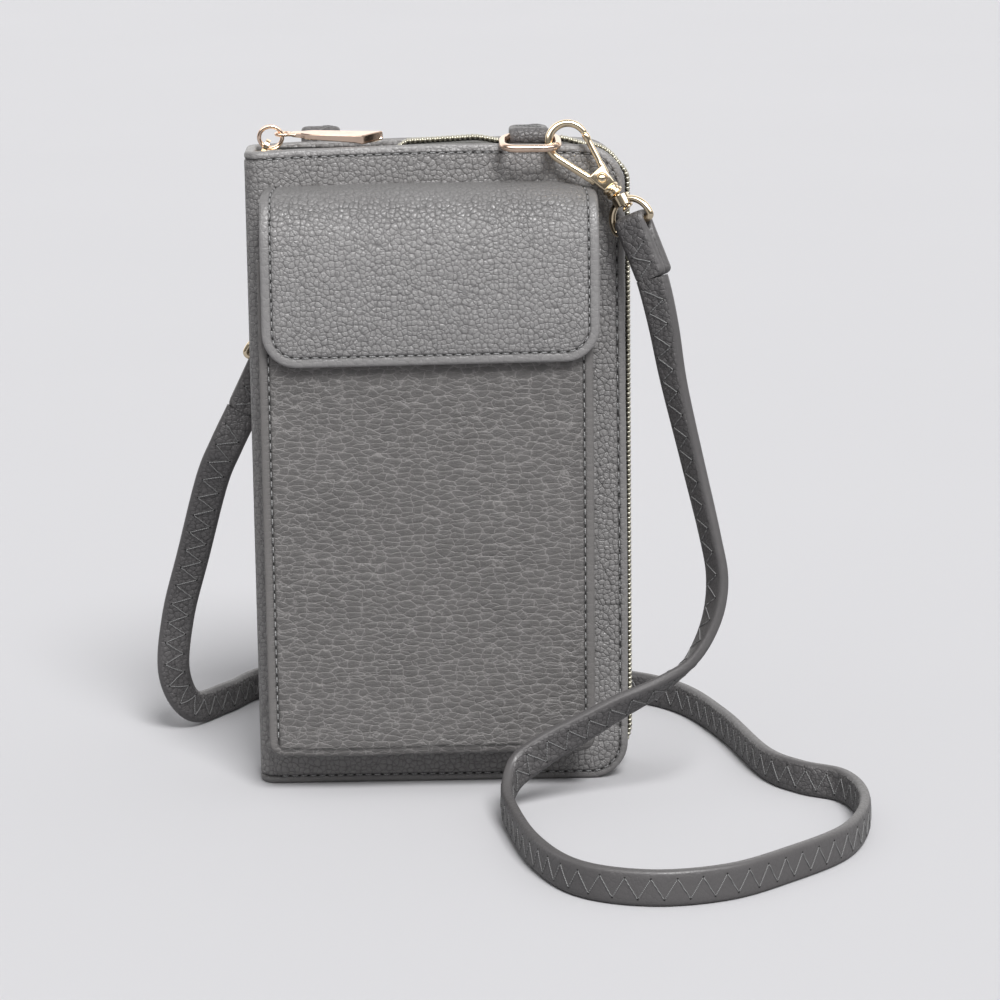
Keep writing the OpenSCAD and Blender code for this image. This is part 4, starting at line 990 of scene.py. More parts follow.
def flap_u(d):
    """The pattern's loop, d in from its free edges."""
    r = max(FLAP_CORNER - d, 0.3)
    foot = d if d < FLAP_CORNER else FLAP_CORNER + (d - FLAP_CORNER) * 0.5
    left, right = FLAP_LEFT + d, FLAP_RIGHT - d
    down = [(left, l) for l in np.linspace(FLAP_END, foot + r, 80, endpoint=False)]
    down += [(left + r - r * math.cos(a), foot + r - r * math.sin(a))
             for a in np.linspace(0, math.pi / 2, 14, endpoint=False)]
    down += [(x, foot) for x in np.linspace(left + r, (left + right) / 2, 46)]
    line = down + [(FLAP_LEFT + FLAP_RIGHT - x, l) for x, l in reversed(down)]
    pull, half = 1.5, (FLAP_RIGHT - FLAP_LEFT) / 2
    return [(x - pull * ease((l - 50) / 12) * (x - FLAP_LEFT - half) / half, l)
            for x, l in line]


print("length of the pattern in mm:", round(FLAP_END, 1))

# %% [markdown]
# The flap turns on its fold, and leather doesn't hinge along a line. `rim` smooths the edge
# and the stretched top of the fold. `seam` is painted shade: it darkens the line under the
# stitches, and the leather towards the fold and towards the foot.


def flap_skin(name, profile):
    """The bent pattern with that profile of d and h, closed across its middle."""
    rows = [[on_flap(x, l, h)[0] for x, l in flap_u(d)] for d, h in profile]
    return skin(name, rows, around=False, extra=across_loop(len(rows), len(rows[0])))


def bend_at_fold(piece):
    """Bakes the piece's transform into its mesh."""
    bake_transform(piece)


flap = flap_skin("flap_skin", FLAP_PROFILE)
mark(flap, [max(1 - ease((d - 2.2) / 1.0), 0.6 * ease((l - 47) / 7))
            for d, h in FLAP_PROFILE for x, l in flap_u(d)])
# Painted shade: the line under the stitches, the leather towards the fold and towards the foot.
mark(flap, [max(bell((d - FLAP_SEAM) / 0.7), 0.42 * ease((l - 38) / 9),
                0.2 * ease((18 - l) / 14) * ease((d - FLAP_SEAM) / 1.5))
            for d, h in FLAP_PROFILE for x, l in flap_u(d)], "seam")
flap.data.materials.append(flap_leather_painted_lit)
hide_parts("flap_outer", "flap_shoulder")
bend_at_fold(flap)
print("flap vertices:", len(flap.data.vertices))

# %% [markdown]
# A thin card inside keeps the flap flat. It ends below the fold, follows the leather's crown
# and has the flap's round corners, a little further in, so that it never shows.

# %% The card in the flap
CARD_IN, CARD_TOP = 1.9, 42.5
corner = FLAP_CORNER - CARD_IN
card_rows = []
for l in [*np.linspace(CARD_IN, FLAP_CORNER, 12, endpoint=False),
          *np.linspace(FLAP_CORNER, CARD_TOP, 18)]:
    inset = FLAP_CORNER - math.sqrt(corner ** 2 - max(FLAP_CORNER - l, 0) ** 2)
    across = np.linspace(FLAP_LEFT + inset, FLAP_RIGHT - inset, 40)
    card_rows.append([on_flap(x, l, -1.5)[0] for x in across]
                     + [on_flap(x, l, -2.1)[0] for x in reversed(across)])
flap_card = skin("flap_card", card_rows, cap=True)
finish_piece(flap_card, "flap", board_card, "board", "flap_board")

# %% [markdown]
# Under the flap is a woven lining, cut a little smaller than the leather. It bends at the
# fold with it. The flap's seam runs down one side, along the foot and up the other. Its flat
# part rides on the flap, and its two ends on the shoulders ride on no body.

# %% The flap's lining and seam
under_profile = [(d, -2.5) for d in (1.7, 2.4, 4, 7, 12, 19, 27, 36, 44, 47.9)]
flap_under = flap_skin("flap_lining_cloth", under_profile)
flap_under.data.materials.append(lining_cloth)
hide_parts("flap_lining", "flap_shoulder_lining")
bend_at_fold(flap_under)

FLAT_L, FLAP_PITCH = 42, 2.7
seam_u = flap_u(FLAP_SEAM)
seam, outs = zip(*[on_flap(x, l, GROOVE) for x, l in seam_u])
flat_part = [k for k, (x, l) in enumerate(seam_u) if l < FLAT_L]
first, last = flat_part[0], flat_part[-1] + 1
straight_row("flap_thread", seam[first:last], outs[first:last], FLAP_PITCH, "flap",
             from_end=0.3)
for word, part in (("left", slice(0, first + 1)), ("right", slice(last - 1, None))):
    row = straight_row(f"shoulder_{word}_thread", seam[part], outs[part], FLAP_PITCH,
                       "wallet", from_end=0.8)
    row.parent = None
    del row["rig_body"]
    bend_at_fold(row)

# %% [markdown]
# ## The phone pocket
# The pocket is a box of softer leather, open at the top. Its front panel is sewn to the side
# walls along two flanges that stand out left and right, and it simply rolls over at the foot,
# where there is no seam. So the panel's edge has two profiles, one for the sides and one for
# the foot, and each point takes a share of both.

# %% The pocket's front panel
POCKET_LEFT, POCKET_RIGHT, POCKET_FOOT, POCKET_TOP = -52.3, 43.7, 12, 160
POCKET_MIDDLE = (POCKET_LEFT + POCKET_RIGHT) / 2
POCKET_DEPTH, POCKET_CORNER = 24, 4.2
POCKET_SEAM = 2.7
POCKET_PROFILE = [
    (0.5, -1.25, -4.0), (0.1, -1.05, -3.0), (0, -0.75, -2.0), (0.1, -0.35, -1.2),
    (0.4, -0.1, -0.65), (0.9, 0, -0.3), (1.5, 0.02, -0.12), (2.1, -0.04, -0.03),
    (2.4, -0.22, 0), (2.7, -0.38, 0), (3.0, -0.22, 0), (3.4, 0.02, 0), (4.2, 0.08, 0),
    (6, 0.05, 0), (9, 0, 0), (13, 0, 0), (18, 0, 0), (24, 0, 0), (31, 0, 0), (39, 0, 0),
    (47.7, 0, 0),
]


def on_pocket(x, z, h):
    """A place on the panel, which is a little full in the middle."""
    full = 0.7 * bell((x - POCKET_MIDDLE) / 62) * bell((z - 66) / 84)
    wave = noise.noise(Vector((x * 0.04, z * 0.035, 11))) * 0.3 * bell((z - 70) / 95)
    sway = 0.35 * math.sin((z - 20) / 48) * (1 if x > 0 else -0.6)
    low = 0.5 * bell((x + 30) / 30) - 0.2
    return [x + sway * 0.6, WALLET_Y - POCKET_DEPTH - h - full - wave,
            z - low * (1 - ease((z - POCKET_FOOT) / 30))]


def pocket_loop(d):
    """The panel's loop from its top left corner down, along the foot and up. The last value
    of each point is its share of the side profile."""
    r = max(POCKET_CORNER - d, 0.3)
    left, foot = POCKET_LEFT + d, POCKET_FOOT + d
    half = [(x, POCKET_TOP - d, 0) for x in np.linspace(POCKET_MIDDLE, left + 0.3, 30)]
    half += [(left, z, 1) for z in np.linspace(POCKET_TOP - d - 0.3, foot + r, 110)]
    half += [(left + r - r * math.cos(a), foot + r - r * math.sin(a), 1 - ease(a / 1.3))
             for a in np.linspace(0, math.pi / 2, 14)[1:]]
    half += [(x, foot, 0) for x in np.linspace(left + r, POCKET_MIDDLE, 42)[1:]]
    return half + [(2 * POCKET_MIDDLE - x, z, w) for x, z, w in reversed(half)]


pocket_rows = [
    [on_pocket(x, z, w * side_h + (1 - w) * foot_h) for x, z, w in pocket_loop(d)]
    for d, side_h, foot_h in POCKET_PROFILE
]
count = len(pocket_rows[0])
pocket = skin("pocket_front_skin", pocket_rows, extra=across_loop(len(pocket_rows), count))
mark(pocket, [w * (1 - ease((d - 1.6) / 1.2)) for d, *_ in POCKET_PROFILE
              for x, z, w in pocket_loop(0)])
# Painted shade along the stitched groove.
paint_seam_shade(pocket, POCKET_PROFILE, POCKET_SEAM, count)
finish_piece(pocket, "wallet", pocket_leather, "leather", "pocket_front")
for word, x in (("left", POCKET_LEFT + POCKET_SEAM), ("right", POCKET_RIGHT - POCKET_SEAM)):
    seam = [on_pocket(x, z, GROOVE) for z in np.linspace(154, 15.5, 90)]
    straight_row(f"pocket_{word}_thread", seam, [(0, -1, 0)] * len(seam), 2.8, "wallet")

# %% [markdown]
# The walls are one strip of leather that runs down the left side, under the pocket and up
# the right side. A folded wall keeps a crease, which is deeper here and shallower there. So
# the strip is one bent section, of depth in front of the wallet's middle and way out, swept
# down a line with two round corners. Its two ends lean back under the flap.

# %% The pocket's side walls
WALL_IN, WALL_BEND, WALL_TOP = 2.6, 2.4, 172
WALL_OUTER = [(11.0, 0.0), (11.4, 0.15), (12.4, 0.0), (14.0, -0.5), (15.6, -0.95),
              (17.0, -1.1), (18.4, -0.95), (20.0, -0.45), (21.4, 0.0), (22.2, 0.35),
              (22.6, 0.9), (22.72, 1.6), (22.7, 2.4)]
WALL_INNER = [(21.6, 2.4), (21.5, 1.6), (21.3, 0.2), (20.6, -1.2), (18.6, -2.1),
              (17.0, -2.3), (15.2, -2.1), (13.2, -1.4), (12.2, -1.2), (12.2, -5.0),
              (11.0, -5.0)]


def wall_path():
    """The line that the wall follows, as x and z with its way out."""
    left, right, foot = POCKET_LEFT + WALL_IN, POCKET_RIGHT - WALL_IN, POCKET_FOOT + WALL_IN
    r = WALL_BEND
    bend = [(math.cos(a), math.sin(a)) for a in np.linspace(0, math.pi / 2, 9)[1:]]
    line = [(left, z, -1, 0) for z in np.linspace(WALL_TOP, foot + r, 60)]
    line += [(left + r - r * c, foot + r - r * s, -c, -s) for c, s in bend]
    line += [(x, foot, 0, -1) for x in np.linspace(left + r, right - r, 46)[1:]]
    line += [(right - r + r * s, foot + r - r * c, s, -c) for c, s in bend]
    return line + [(right, z, 1, 0) for z in np.linspace(foot + r, WALL_TOP, 60)[1:]]


wall_rows = []
for x, z, nx, nz in wall_path():
    above = ease((z - 156) / 5)
    lean = 1 - 0.16 * ease((z - 158) / 14)
    crease = 1 + 0.25 * noise.noise(Vector((x * 0.05, z * 0.06, 21)))
    row = []
    for depth, out in WALL_OUTER + WALL_INNER:
        out = out * crease if out < 0 else out * (1 - above * 0.8)
        depth = COVER_HALF + (depth - COVER_HALF) * lean
        row.append([x + out * nx, WALLET_Y - depth, z + out * nz])
    wall_rows.append(row)
walls = skin("pocket_walls", wall_rows, cap=True)
mark(walls, [0.15] * len(walls.data.vertices))
finish_piece(walls, "wallet", gusset_leather, "leather", "pocket_gusset")

# %% [markdown]
# Two woven cloths line the pocket, one behind its front panel and one on the cover. They are
# glued down flat, so a nearly flat sheet with a faint ripple is enough.

# %% The pocket's linings
def cloth(name, x0, x1, z0, z1, depth, node):
    """A flat woven lining glued to the leather behind it."""
    rows = [[[x, WALLET_Y - depth - 0.06 * math.sin(x / 7 + z / 11), z]
             for x in np.linspace(x0, x1, 24)] for z in np.linspace(z0, z1, 36)]
    made = skin(name, rows, around=False)
    finish_piece(made, "wallet", lining_cloth, "lining", node)
    return made


cloth("pocket_front_lining", -48.2, 39.6, 16.1, 159.4, 22.3, "pocket_lining")
cloth("pocket_back_cloth", -44.2, 35.6, 20.1, 171.6, 11.5, "pocket_back_lining")

# %% [markdown]
# ## The zip
# A zip tape is woven, and it runs down from the teeth on each side of the zip to the inside
# of the cover. Its middle line climbs a little along the top, turns at the rounded corner,
# goes down the free side and comes back along the foot. Each place on that line has its way
# out of the wallet with it, which the tapes and the teeth both need.

# %% The zip's line
ZIP_X, ZIP_R, ZIP_RISE, ZIP_FOOT, ZIP_CLIMB = 55.1, 12, math.radians(2.9), 2.2, 96
TURN_X, TURN_TOP, TURN_FOOT = 43.1, 178.89, 14.2
TOP_TURN_RUN, SIDE_RUN, FOOT_TURN_RUN, FOOT_RUN = 19.4, 164.7, 18.8, 95


def zip_raise(x):
    """The closed zip bulges up between the covers, clear of the slider's run and the tab."""
    return 2.6 * ease((x + 14) / 6) - 1.9 * ease((x - 10) / 11) - 2.3 * ease((x - 35) / 9)


def zip_path(step=1.5):
    """Places on the zip's middle line with the way out of the wallet there."""
    line = []
    out = (-math.sin(ZIP_RISE), math.cos(ZIP_RISE))
    start = (TURN_X + ZIP_R * out[0], TURN_TOP + ZIP_R * out[1])
    for s in np.arange(ZIP_CLIMB, 0, -step):
        x = start[0] - s * math.cos(ZIP_RISE)
        lift = zip_raise(x)
        line.append((x + lift * out[0], start[1] - s * math.sin(ZIP_RISE) + lift * out[1],
                     *out))
    for a in np.linspace(math.pi / 2 + ZIP_RISE, 0, int(TOP_TURN_RUN / step) + 1):
        r = ZIP_R - 1.6 * ease(1.6 * a)
        line.append((TURN_X + r * math.cos(a), TURN_TOP + r * math.sin(a),
                     math.cos(a), math.sin(a)))
    for z in np.linspace(TURN_TOP, TURN_FOOT, int(SIDE_RUN / step) + 1)[1:]:
        line.append((ZIP_X, z, 1, 0))
    for a in np.linspace(0, -math.pi / 2, int(FOOT_TURN_RUN / step) + 1)[1:]:
        line.append((TURN_X + ZIP_R * math.cos(a), TURN_FOOT + ZIP_R * math.sin(a),
                     math.cos(a), math.sin(a)))
    return line + [(x, ZIP_FOOT, 0, -1)
                   for x in np.linspace(TURN_X, -52, int(FOOT_RUN / step) + 1)[1:]]


print("places on the zip's line:", len(zip_path()))

# %% [markdown]
# The tape itself is one bent section of way out and depth, swept down that line once for
# each half. A small ripple, turned the other way on the other half, keeps it from looking
# like a moulding. Where the closed zip bulges up, only the tape's upper part goes with it.

# %% The zip tapes
TAPE_SECTION = [
    (-0.86, -0.8), (-0.84, -1.8), (-0.82, -2.8), (-0.84, -3.8), (-1.0, -4.7), (-1.6, -5.7),
    (-2.5, -6.9), (-3.3, -7.74), (-4.6, -7.76), (-6.4, -7.76), (-6.4, -7.35), (-4.8, -7.34),
    (-3.7, -7.2), (-2.9, -6.4), (-1.9, -5.1), (-1.38, -4.3), (-1.34, -2.6), (-1.36, -0.8),
]
for side, word in ((-1, "back"), (1, "front")):
    rows = []
    for x, z, nx, nz in zip_path():
        ripple = 0.1 * math.sin((x + z) / 3.1) * side
        lift = max(zip_raise(x), 0) * nz if nz > 0.9 else 0
        row = []
        for u, v in TAPE_SECTION:
            u += ripple * bell((v + 4.5) / 3) - lift * ease((-v - 3) / 4)
            row.append([x + u * nx, WALLET_Y + side * v, z + u * nz])
        rows.append(row)
    tape = skin(f"tape_{word}_woven", rows, cap=True)
    finish_piece(tape, "wallet", tape_cloth, "tape", f"zip_tape_{word}")

# %% [markdown]
# Each tooth is a small metal bead on the tape's edge. The two rows mesh, so one row is half
# a tooth ahead of the other. I make a tooth from a few eight-sided rings, of depth and half
# sizes along and up, and copy its points along the zip's line, in one mesh for each row.

# %% Teeth
TOOTH_PITCH, TOOTH_SIDES = 1.45, 8
TOOTH = [(-2.3, 0.20, 0.45), (-2.1, 0.40, 0.72), (-1.3, 0.46, 0.88), (-0.2, 0.50, 0.92),
         (0.35, 0.46, 0.88), (0.75, 0.34, 0.62), (0.9, 0.15, 0.30)]


def teeth_row(name, side, phase, node):
    """One row of teeth. phase is how far along the line the first one is moved."""
    fine = np.array(zip_path(0.25))
    run = distances(fine[:, :2])
    points, faces = [], []
    for s in np.arange(phase + 4.2, run[-1] - 1, TOOTH_PITCH):
        x, z, nx, nz = (np.interp(s, run, v) for v in fine.T)
        faces += joined(len(points), len(TOOTH), TOOTH_SIDES, cap=True)
        for v, along, up in TOOTH:
            for a in np.linspace(0, 2 * math.pi, TOOTH_SIDES + 1)[:-1] + math.pi / 8:
                t, u = 1.08 * along * math.cos(a), 0.93 * up * math.sin(a)
                points.append(np.array(
                    [x + u * nx + t * nz, WALLET_Y + side * v, z + u * nz - t * nx]) * MM)
    finish_piece(mesh_piece(name, points, faces, 60), "wallet", tooth_metal, "zip_teeth", node)


teeth_row("teeth_front", 1, 0.0, "zip_teeth_front")
teeth_row("teeth_back", -1, TOOTH_PITCH / 2, "zip_teeth_back")

# %% [markdown]
# ## Hooks, rings and the zip pull
# These are cast and plated, with soft bends and worn edges. The CAD solids of the hooks, the
# rings and the pull are exact but plain, so I model the ones that show over them. Each is
# worked out in its own frame and then placed by one matrix, the same as in the CAD model. A
# wire is a tube swept down a line. Its first side points to the middle of the line, and is
# carried on from place to place without a twist.

# %% Wires
def turn(axis, degrees):
    return Matrix.Rotation(math.radians(degrees), 4, axis)


def placed(matrix, points):
    return [list(matrix @ Vector(p)) for p in points]


def tube(name, line, radii, closed=False, sides=14):
    """A round tube down a line of points in mm. radii may change along it."""
    line = np.array(line, float)
    count = len(line)
    radii = np.broadcast_to(radii, count).astype(float)
    along = unit(np.roll(line, -1, 0) - np.roll(line, 1, 0) if closed
                 else np.gradient(line, axis=0))
    middle = line.mean(0) - line[0]
    side = np.cross(along[0], np.cross(middle, along[0]) + 1e-6)
    rows = []
    for i in range(count):
        side = side - side.dot(along[i]) * along[i]
        side /= np.linalg.norm(side)
        other = np.cross(along[i], side)
        rows.append([line[i] + radii[i] * (math.cos(a) * side + math.sin(a) * other)
                     for a in np.linspace(0, 2 * math.pi, sides, endpoint=False)])
    if closed:
        rows.append(rows[0])
    else:
        for end, way in ((0, -1), (-1, 1)):
            caps = []
            for a in (30, 60, 82):
                c, s = math.cos(math.radians(a)), math.sin(math.radians(a))
                caps.append([line[end] + c * (np.array(p) - line[end])
                             + 0.6 * s * radii[end] * way * along[end] for p in rows[end]])
            rows = caps[::-1] + rows if way < 0 else rows + caps
    return skin(name, rows, cap=not closed)


print("a quarter turn takes X to", [round(v) for v in turn("Z", 90) @ Vector((1, 0, 0))])

# %% [markdown]
# A turned part is its profile, as rows of radius and height, swept round an axis. A block is
# a bevelled cube between two corners.

# %% Turned parts and small blocks
def turned(name, profile, matrix, sides=24):
    """A part turned on the Z of a frame, from rows of radius and height."""
    rows = [placed(matrix, [(r * math.cos(a), r * math.sin(a), h)
                            for a in np.linspace(0, 2 * math.pi, sides, endpoint=False)])
            for r, h in profile]
    return skin(name, rows, cap=True, smooth=40)


def block(name, low, high, bevel, matrix, taper=0.0):
    """A block between two corners with rounded edges, narrower at its foot by the taper."""
    shape = bmesh.new()
    bmesh.ops.create_cube(shape, size=1)
    for vertex in shape.verts:
        vertex.co = Vector([(a + b) / 2 + c * (b - a) for a, b, c in zip(low, high, vertex.co)])
    bmesh.ops.bevel(shape, geom=shape.edges[:], offset=bevel, segments=3, profile=0.5,
                    affect="EDGES")
    for vertex in shape.verts:
        vertex.co.x *= 1 - taper * (high[2] - vertex.co.z) / (high[2] - low[2])
    points = [np.array(matrix @ v.co) * MM for v in shape.verts]
    faces = [tuple(v.index for v in f.verts) for f in shape.faces]
    shape.free()
    return mesh_piece(name, points, faces, 40)


print("turned parts and blocks are ready")

# %% [markdown]
# ## The snap hooks
# A snap hook is one casting: a bow that is open on one side, an arm, a flat head, and under
# it a stem that turns in the strap's eye. The gate is a thinner bar on a rivet through the
# head, and it closes the bow's mouth. Arm and gate lean out from the head by the same angle.
# The gate opens against a spring, so it rides on a body of its own.

# %% The hooks' measures
BOW_R, BOW_Z, BOW_END = 5.5, 14.5, -11.5
ARM_START, ARM_END = 1.6, 14.05
LEG_X, LEG_Z, LEG_LEAN = 1.6, -0.5, 15.29
STEM_PROFILE = [
    (1.8, -3.0), (2.35, -3.1), (2.6, -3.4), (2.6, -4.0), (2.2, -4.3), (2.2, -4.7),
    (2.6, -5.0), (2.6, -5.7), (2.2, -6.1), (1.2, -6.25), (0.98, -6.5), (0.98, -10.4),
    (1.5, -10.55), (1.85, -10.8), (1.85, -11.1), (1.4, -11.4),
]
RIVET_PROFILE = [
    (1.75, 2.0), (1.75, 2.25), (1.6, 2.42), (1.42, 2.42), (1.3, 2.25), (1.18, 2.25),
    (1.0, 2.5), (0.55, 2.68), (0.15, 2.72),
]
hook_frames = {
    "right": Matrix.Translation((47, -11.4185, 181)) @ turn("X", -15) @ turn("Y", -41.8),
    "left": (Matrix.Translation((-45.587, 21.7685, 137.588)) @ turn("Y", 26)
             @ turn("Z", 50)),
}


def leg(side, lengths):
    """Places up the arm, side -1, or the gate, side 1, that far from the head."""
    lean = math.radians(LEG_LEAN)
    return [(side * (LEG_X + s * math.sin(lean)), 0, LEG_Z + s * math.cos(lean))
            for s in lengths]


print("width between the legs at the bow, in mm:", round(2 * leg(1, [ARM_END])[0][0], 1))

# %% [markdown]
# Each hook has five pieces of wire and turned metal. Arm and bow are one wire that is a
# little thicker in the bend and thinner at the tip. The head is a block with rounded edges,
# narrower below, and the rivet shows a dished head on each side of it.

# %% The hooks
def hook_body(word, place):
    """Arm and bow as one wire, the head and the stem."""
    arm = leg(-1, np.linspace(ARM_START, ARM_END, 12, endpoint=False))
    bow = [(BOW_R * math.cos(a), 0, BOW_Z + BOW_R * math.sin(a))
           for a in np.radians(np.linspace(180 + LEG_LEAN, BOW_END, 44))]
    thick = np.interp(np.arange(56), [0, 10, 26, 44, 52, 55], [1.15, 1.1, 1.16, 1.1, 1.0, 0.9])
    wire = tube(f"hook_{word}_wire", placed(place, arm + bow), thick)
    finish_piece(wire, f"hook_{word}", gold, "gold", f"hook_{word}")
    head = block(f"hook_{word}_head", (-2.75, -2.1, -3.2), (2.75, 2.1, 2.9), 0.5, place,
                 taper=0.28)
    finish_piece(head, f"hook_{word}", gold, "gold")
    stem = turned(f"hook_{word}_stem", STEM_PROFILE, place)
    finish_piece(stem, f"hook_{word}", gold, "gold")


def hook_gate(word, place):
    """The gate, thick at the rivet and at its tip, where it meets the bow."""
    thick = np.interp(np.arange(26), [0, 5, 8, 21, 23, 25], [1.1, 1.1, 0.92, 0.92, 1.1, 1.1])
    gate = tube(f"gate_{word}_bar", placed(place, leg(1, np.linspace(1.0, 13.6, 26))), thick)
    finish_piece(gate, f"gate_{word}", gold, "gold", f"gate_{word}")


def hook_rivets(word, place):
    """The rivet's two heads, which stand for the rivet of the CAD model."""
    for quarter, face, nodes in ((90, "front", [f"gate_rivet_{word}"]), (-90, "back", [])):
        rivet = turned(f"rivet_{word}_{face}", RIVET_PROFILE, place @ turn("X", quarter))
        finish_piece(rivet, f"hook_{word}", gold, "gold", *nodes)


for word, place in hook_frames.items():
    hook_body(word, place)
    hook_gate(word, place)
    hook_rivets(word, place)

# %% [markdown]
# ## The rings
# Each tab holds a ring of round wire, bent to a rounded rectangle. It hangs from the middle
# of its upper side, so that is the origin of its frame, and four quarter turns with straight
# wire between them make its line.

# %% The rings
RING_HALF_W, RING_HALF_H, RING_CORNER, RING_WIRE_R = 7.85, 6.35, 4.2, 1.13
ring_frames = {
    "right": Matrix.Translation((26.6, WALLET_Y - 6, 192.4)) @ turn("X", -81),
    "left": Matrix.Translation((-34.3, WALLET_Y + 13.9, 165)) @ turn("X", 15),
}
ring_line = [
    (cx * (RING_HALF_W - RING_CORNER) + RING_CORNER * math.cos(a), 0,
     cz * (RING_HALF_H - RING_CORNER) - RING_HALF_H + RING_CORNER * math.sin(a))
    for cx, cz, start in ((1, 1, 90), (1, -1, 0), (-1, -1, -90), (-1, 1, -180))
    for a in np.radians(np.linspace(start, start - 90, 12))
]
for word, place in ring_frames.items():
    made = tube(f"ring_{word}_wire", placed(place, ring_line), RING_WIRE_R, closed=True)
    finish_piece(made, f"ring_{word}", rose_gold, "rose_gold", f"ring_{word}")

# %% [markdown]
# ## The zip pull
# A small ring goes through the slider's eye, and the pull hangs on it. The ring and the
# pull's own eye are both wires along an ellipse.

# %% The pull's ring
def round_line(wide, high, count, x=0.0, z=0.0, flat=False):
    """An ellipse about x and z, or about x in the X-Y plane when it is flat."""
    turns = np.linspace(0, 2 * math.pi, count, endpoint=False)
    if flat:
        return [(wide * math.cos(a) + x, high * math.sin(a), z) for a in turns]
    return [(wide * math.cos(a) + x, 0, high * math.sin(a) + z) for a in turns]


pull_place = Matrix.Translation((-48.479, WALLET_Y, 192.733)) @ turn("Y", -2.9)
made = tube("pull_ring_wire", placed(pull_place, round_line(3.35, 3.1, 48, z=-0.2)), 0.62,
            closed=True)
finish_piece(made, "pull_ring", rose_gold, "rose_gold", "pull_ring")

# %% [markdown]
# The pull is an eye of thin wire, two struts and a bar that gets wider and thicker to its
# end. Lying on the zip, it points a little forward. I sweep the bar through eight-sided
# sections, of place, half width, top and underside. Its far end is cut at a slant, so each
# section there is cut back on its near side, and the last ones close it with a bevel.

# %% The pull's bar
BAR_BEVEL, SLANT = 0.28, 4.6
tab_place = (pull_place @ Matrix.Translation((3.25, 0, 0.57)) @ turn("Z", -12)
             @ turn("Y", 3.4) @ turn("X", 5))
BAR_SECTIONS = [
    (3.1, 1.0, 0.5, -0.5), (3.6, 1.4, 0.66, -0.66), (6.2, 1.7, 0.7, -0.8),
    (7.6, 2.5, 0.7, -0.9), (9.2, 2.95, 0.7, -1.0), (16, 3.15, 0.7, -1.25),
    (24, 3.35, 0.7, -1.55, 1.4), (29.2, 3.45, 0.75, -1.9, SLANT),
    (29.5, 3.45, 0.75, -1.9, SLANT, 0.22), (29.5, 3.45, 0.75, -1.9, SLANT, 0.5),
    (29.2, 3.45, 0.75, -1.9, SLANT, 0.56),
]


def slab(x, half_w, top, under, cut_back=0.0, inset=0.0):
    """One bevelled section of the pull, with its end cut back on the near side."""
    b = BAR_BEVEL
    w, t, u = half_w - inset, top - inset, under + inset
    outline = [(-w + b, t), (w - b, t), (w, t - b), (w, u + b), (w - b, u), (-w + b, u),
               (-w, u + b), (-w, t - b)]
    return placed(tab_place, [(x + cut_back * (y / half_w - 1) / 2, y, z) for y, z in outline])


made = skin("pull_tab_slab", [slab(*row) for row in BAR_SECTIONS], cap=True, smooth=14)
finish_piece(made, "pull_tab", rose_gold, "rose_gold", "pull_tab")

# %% [markdown]
# The eye lies flat round the small ring, and the two struts run from it into the bar.

# %% The pull's eye and struts
EYE_WIRE_R = 0.5
eye_line = round_line(2.0, 1.75, 36, x=0.4, flat=True)
made = tube("pull_tab_eye", placed(tab_place, eye_line), EYE_WIRE_R, closed=True)
finish_piece(made, "pull_tab", rose_gold, "rose_gold")
for side in (-1, 1):
    strut = [(2.2, side * 0.9, 0), (3.2, side * 1.05, 0), (4.4, side * 1.1, -0.1)]
    made = tube(f"pull_strut_{side + 2}", placed(tab_place, strut), EYE_WIRE_R)
    finish_piece(made, "pull_tab", rose_gold, "rose_gold")

# %% [markdown]
# ## Hard parts from the CAD model
# The slider, the D-rings of the strap, the magnets, the springs and the boards have the right
# shape already, so they only need their materials. Each CAD node is an object, and its first
# material slot takes the finish. Faces that meet at more than 32 degrees keep a sharp edge.

# %% Finishes for the hard parts
FINISHES = {
    gold: ["zip_slider", "zip_stops", "pocket_magnet", "snap_washers", "flap_magnet",
           "eye_right", "eye_left"],
    steel: ["gate_spring_right", "gate_spring_left"],
    board_card: ["front_board", "back_board"],
    lining_cloth: ["front_lining", "back_lining", "spine_lining", "card_slots_front",
                   "card_slots_back", "coin_pocket"],
}
SHARP_FROM = 32
for material, names in FINISHES.items():
    for node in names:
        piece = frame["nodes"][node]
        piece.data.materials.clear()
        piece.data.materials.append(material)
        piece.data.shade_smooth()
        piece.data.set_sharp_from_angle(angle=math.radians(SHARP_FROM))
print("CAD nodes with a finish:", sum(len(names) for names in FINISHES.values()))

# %% [markdown]
# ## The strap
# The strap hangs free between its two ends.

# %% [markdown]
# ## The floor
# The pouch stands on a plain pale surface. What the camera sees of it is the pale background
# colour, with a very faint cloudiness. What it sends back to the leather is darker than that,
# so that the folds and the underside keep their shade.

# %% Floor
FLOOR_SHADE = 0.45


def pale_floor(start):
    place = start.node("TexCoord", out="Object")
    cloud = start.node("TexNoise", {}, {"Vector": place, "Scale": 3, "Detail": 2})
    seen = start.node("LightPath", out="Is Camera Ray")
    pale = cloud.tint((0.748, 0.743, 0.763), (0.768, 0.763, 0.783))
    return {"Base Color": pale.shaded((1 - seen) * FLOOR_SHADE)}


floor_mesh = bpy.data.meshes.new("floor")
floor_mesh.from_pydata([(-6, -3, 0), (6, -3, 0), (6, 9, 0), (-6, 9, 0)], [], [(0, 1, 2, 3)])
floor = bpy.data.objects.new("floor", floor_mesh)
bpy.context.scene.collection.objects.link(floor)
floor_mesh.materials.append(finish("pale_floor", pale_floor, Roughness=0.8,
                                   Specular_IOR_Level=0.2))

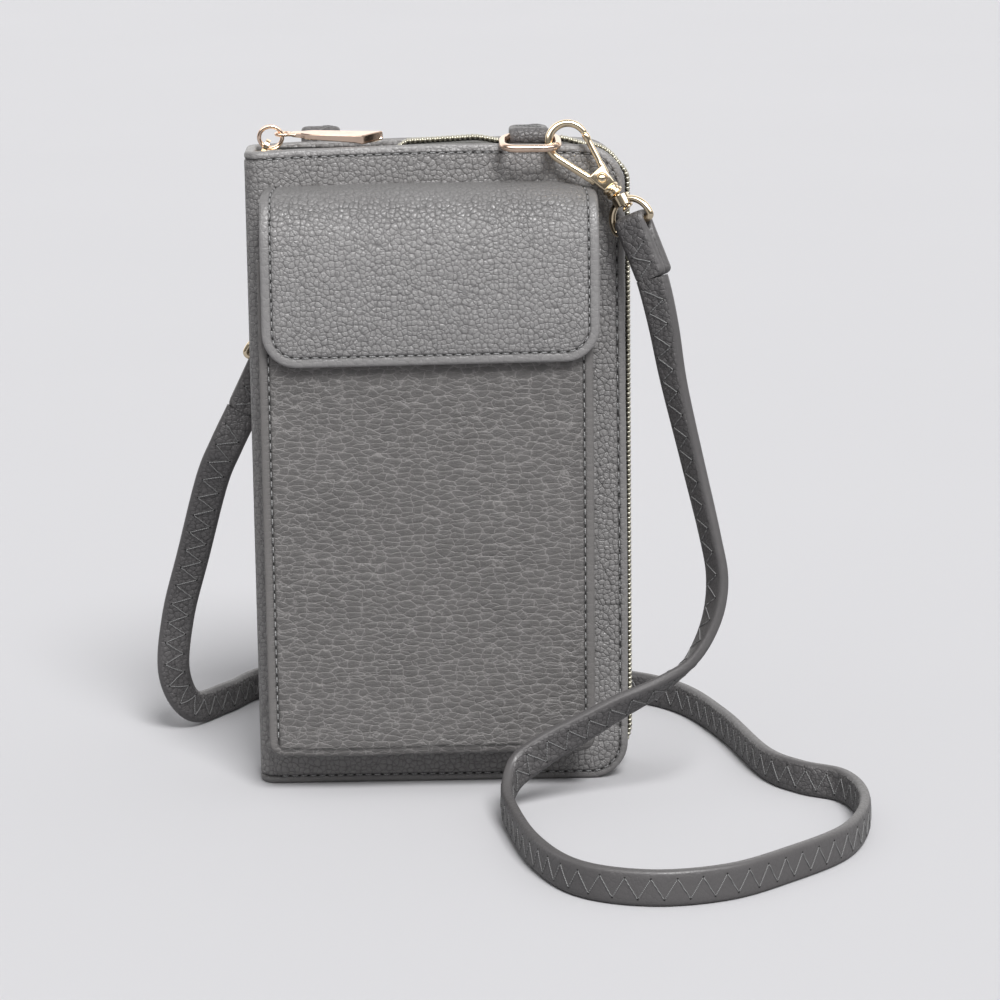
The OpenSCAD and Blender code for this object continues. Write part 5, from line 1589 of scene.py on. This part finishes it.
# %% [markdown]
# ## The light
# The light is wide and soft and comes from above. The world is brighter overhead than at the
# horizon, as under a large window or a soft box. Rays from the camera see the pale background
# instead, so the light's level and the background's colour are set apart. Polished metal
# looks like what it mirrors, so glossy rays get a room of their own: a bright box high in
# front, a pale wall behind and dimness between, which draws the dark and light stripes that
# make a wire look round.

# %% The world
world = bpy.data.worlds.new("soft_room")
bpy.context.scene.world = world
world.use_nodes = True
tree = world.node_tree
tree.nodes.clear()
start = Wire(tree)
way = start.node("TexCoord", out="Generated")
from_left, toward, height = (
    start.node("SeparateXYZ", {}, {0: way}, out=axis) for axis in range(3))
sky = height.step(0.0, 0.9) * 0.36 + 0.12 + from_left * 0.04
box = height.step(0.42, 0.56) * (1 - height.step(0.9, 0.97)) * (1 - toward.step(-0.3, -0.1))
mirror = box * 2.8 + toward.step(0.1, 0.6) * 1.05 + height.step(-0.1, 0.5) * 0.15 + 0.09
light, plain, room = (
    start.node("Background", {}, {"Color": (*colour, 1), "Strength": strength})
    for colour, strength in (((0.985, 0.99, 1.0), sky), ((0.745, 0.74, 0.76), 1.0),
                             ((1.0, 0.99, 0.98), mirror)))
seen, glossy, clear = (
    start.node("LightPath", out=f"Is {kind} Ray")
    for kind in ("Camera", "Glossy", "Transmission"))
shown = start.node("MixShader", {}, {0: seen + clear, 1: light, 2: plain})
mixed = start.node("MixShader", {}, {0: glossy, 1: shown, 2: room})
ending = tree.nodes.new("ShaderNodeOutputWorld")
tree.links.new(mixed.socket, ending.inputs["Surface"])
print("world:", len(tree.nodes), "nodes")

# %% [markdown]
# One lamp is the key. It is a sun, so it lights every place alike, and it is many degrees
# wide, so the shadows on the ground fade out softly. It is turned to shine from high in
# front and a little from the side, which draws each pebble and stitch. The Standard view
# shows a colour as it is written.

# %% The key lamp
KEY_STRENGTH, KEY_WIDTH, KEY_TURN = 2.4, 22, (40, 6, 10)
lamp_data = bpy.data.lights.new("key", "SUN")
lamp_data.energy = KEY_STRENGTH
lamp_data.angle = math.radians(KEY_WIDTH)
lamp = bpy.data.objects.new("key", lamp_data)
lamp.rotation_euler = [math.radians(v) for v in KEY_TURN]
bpy.context.scene.collection.objects.link(lamp)
bpy.context.scene.view_settings.view_transform = "Standard"
print("light is set")
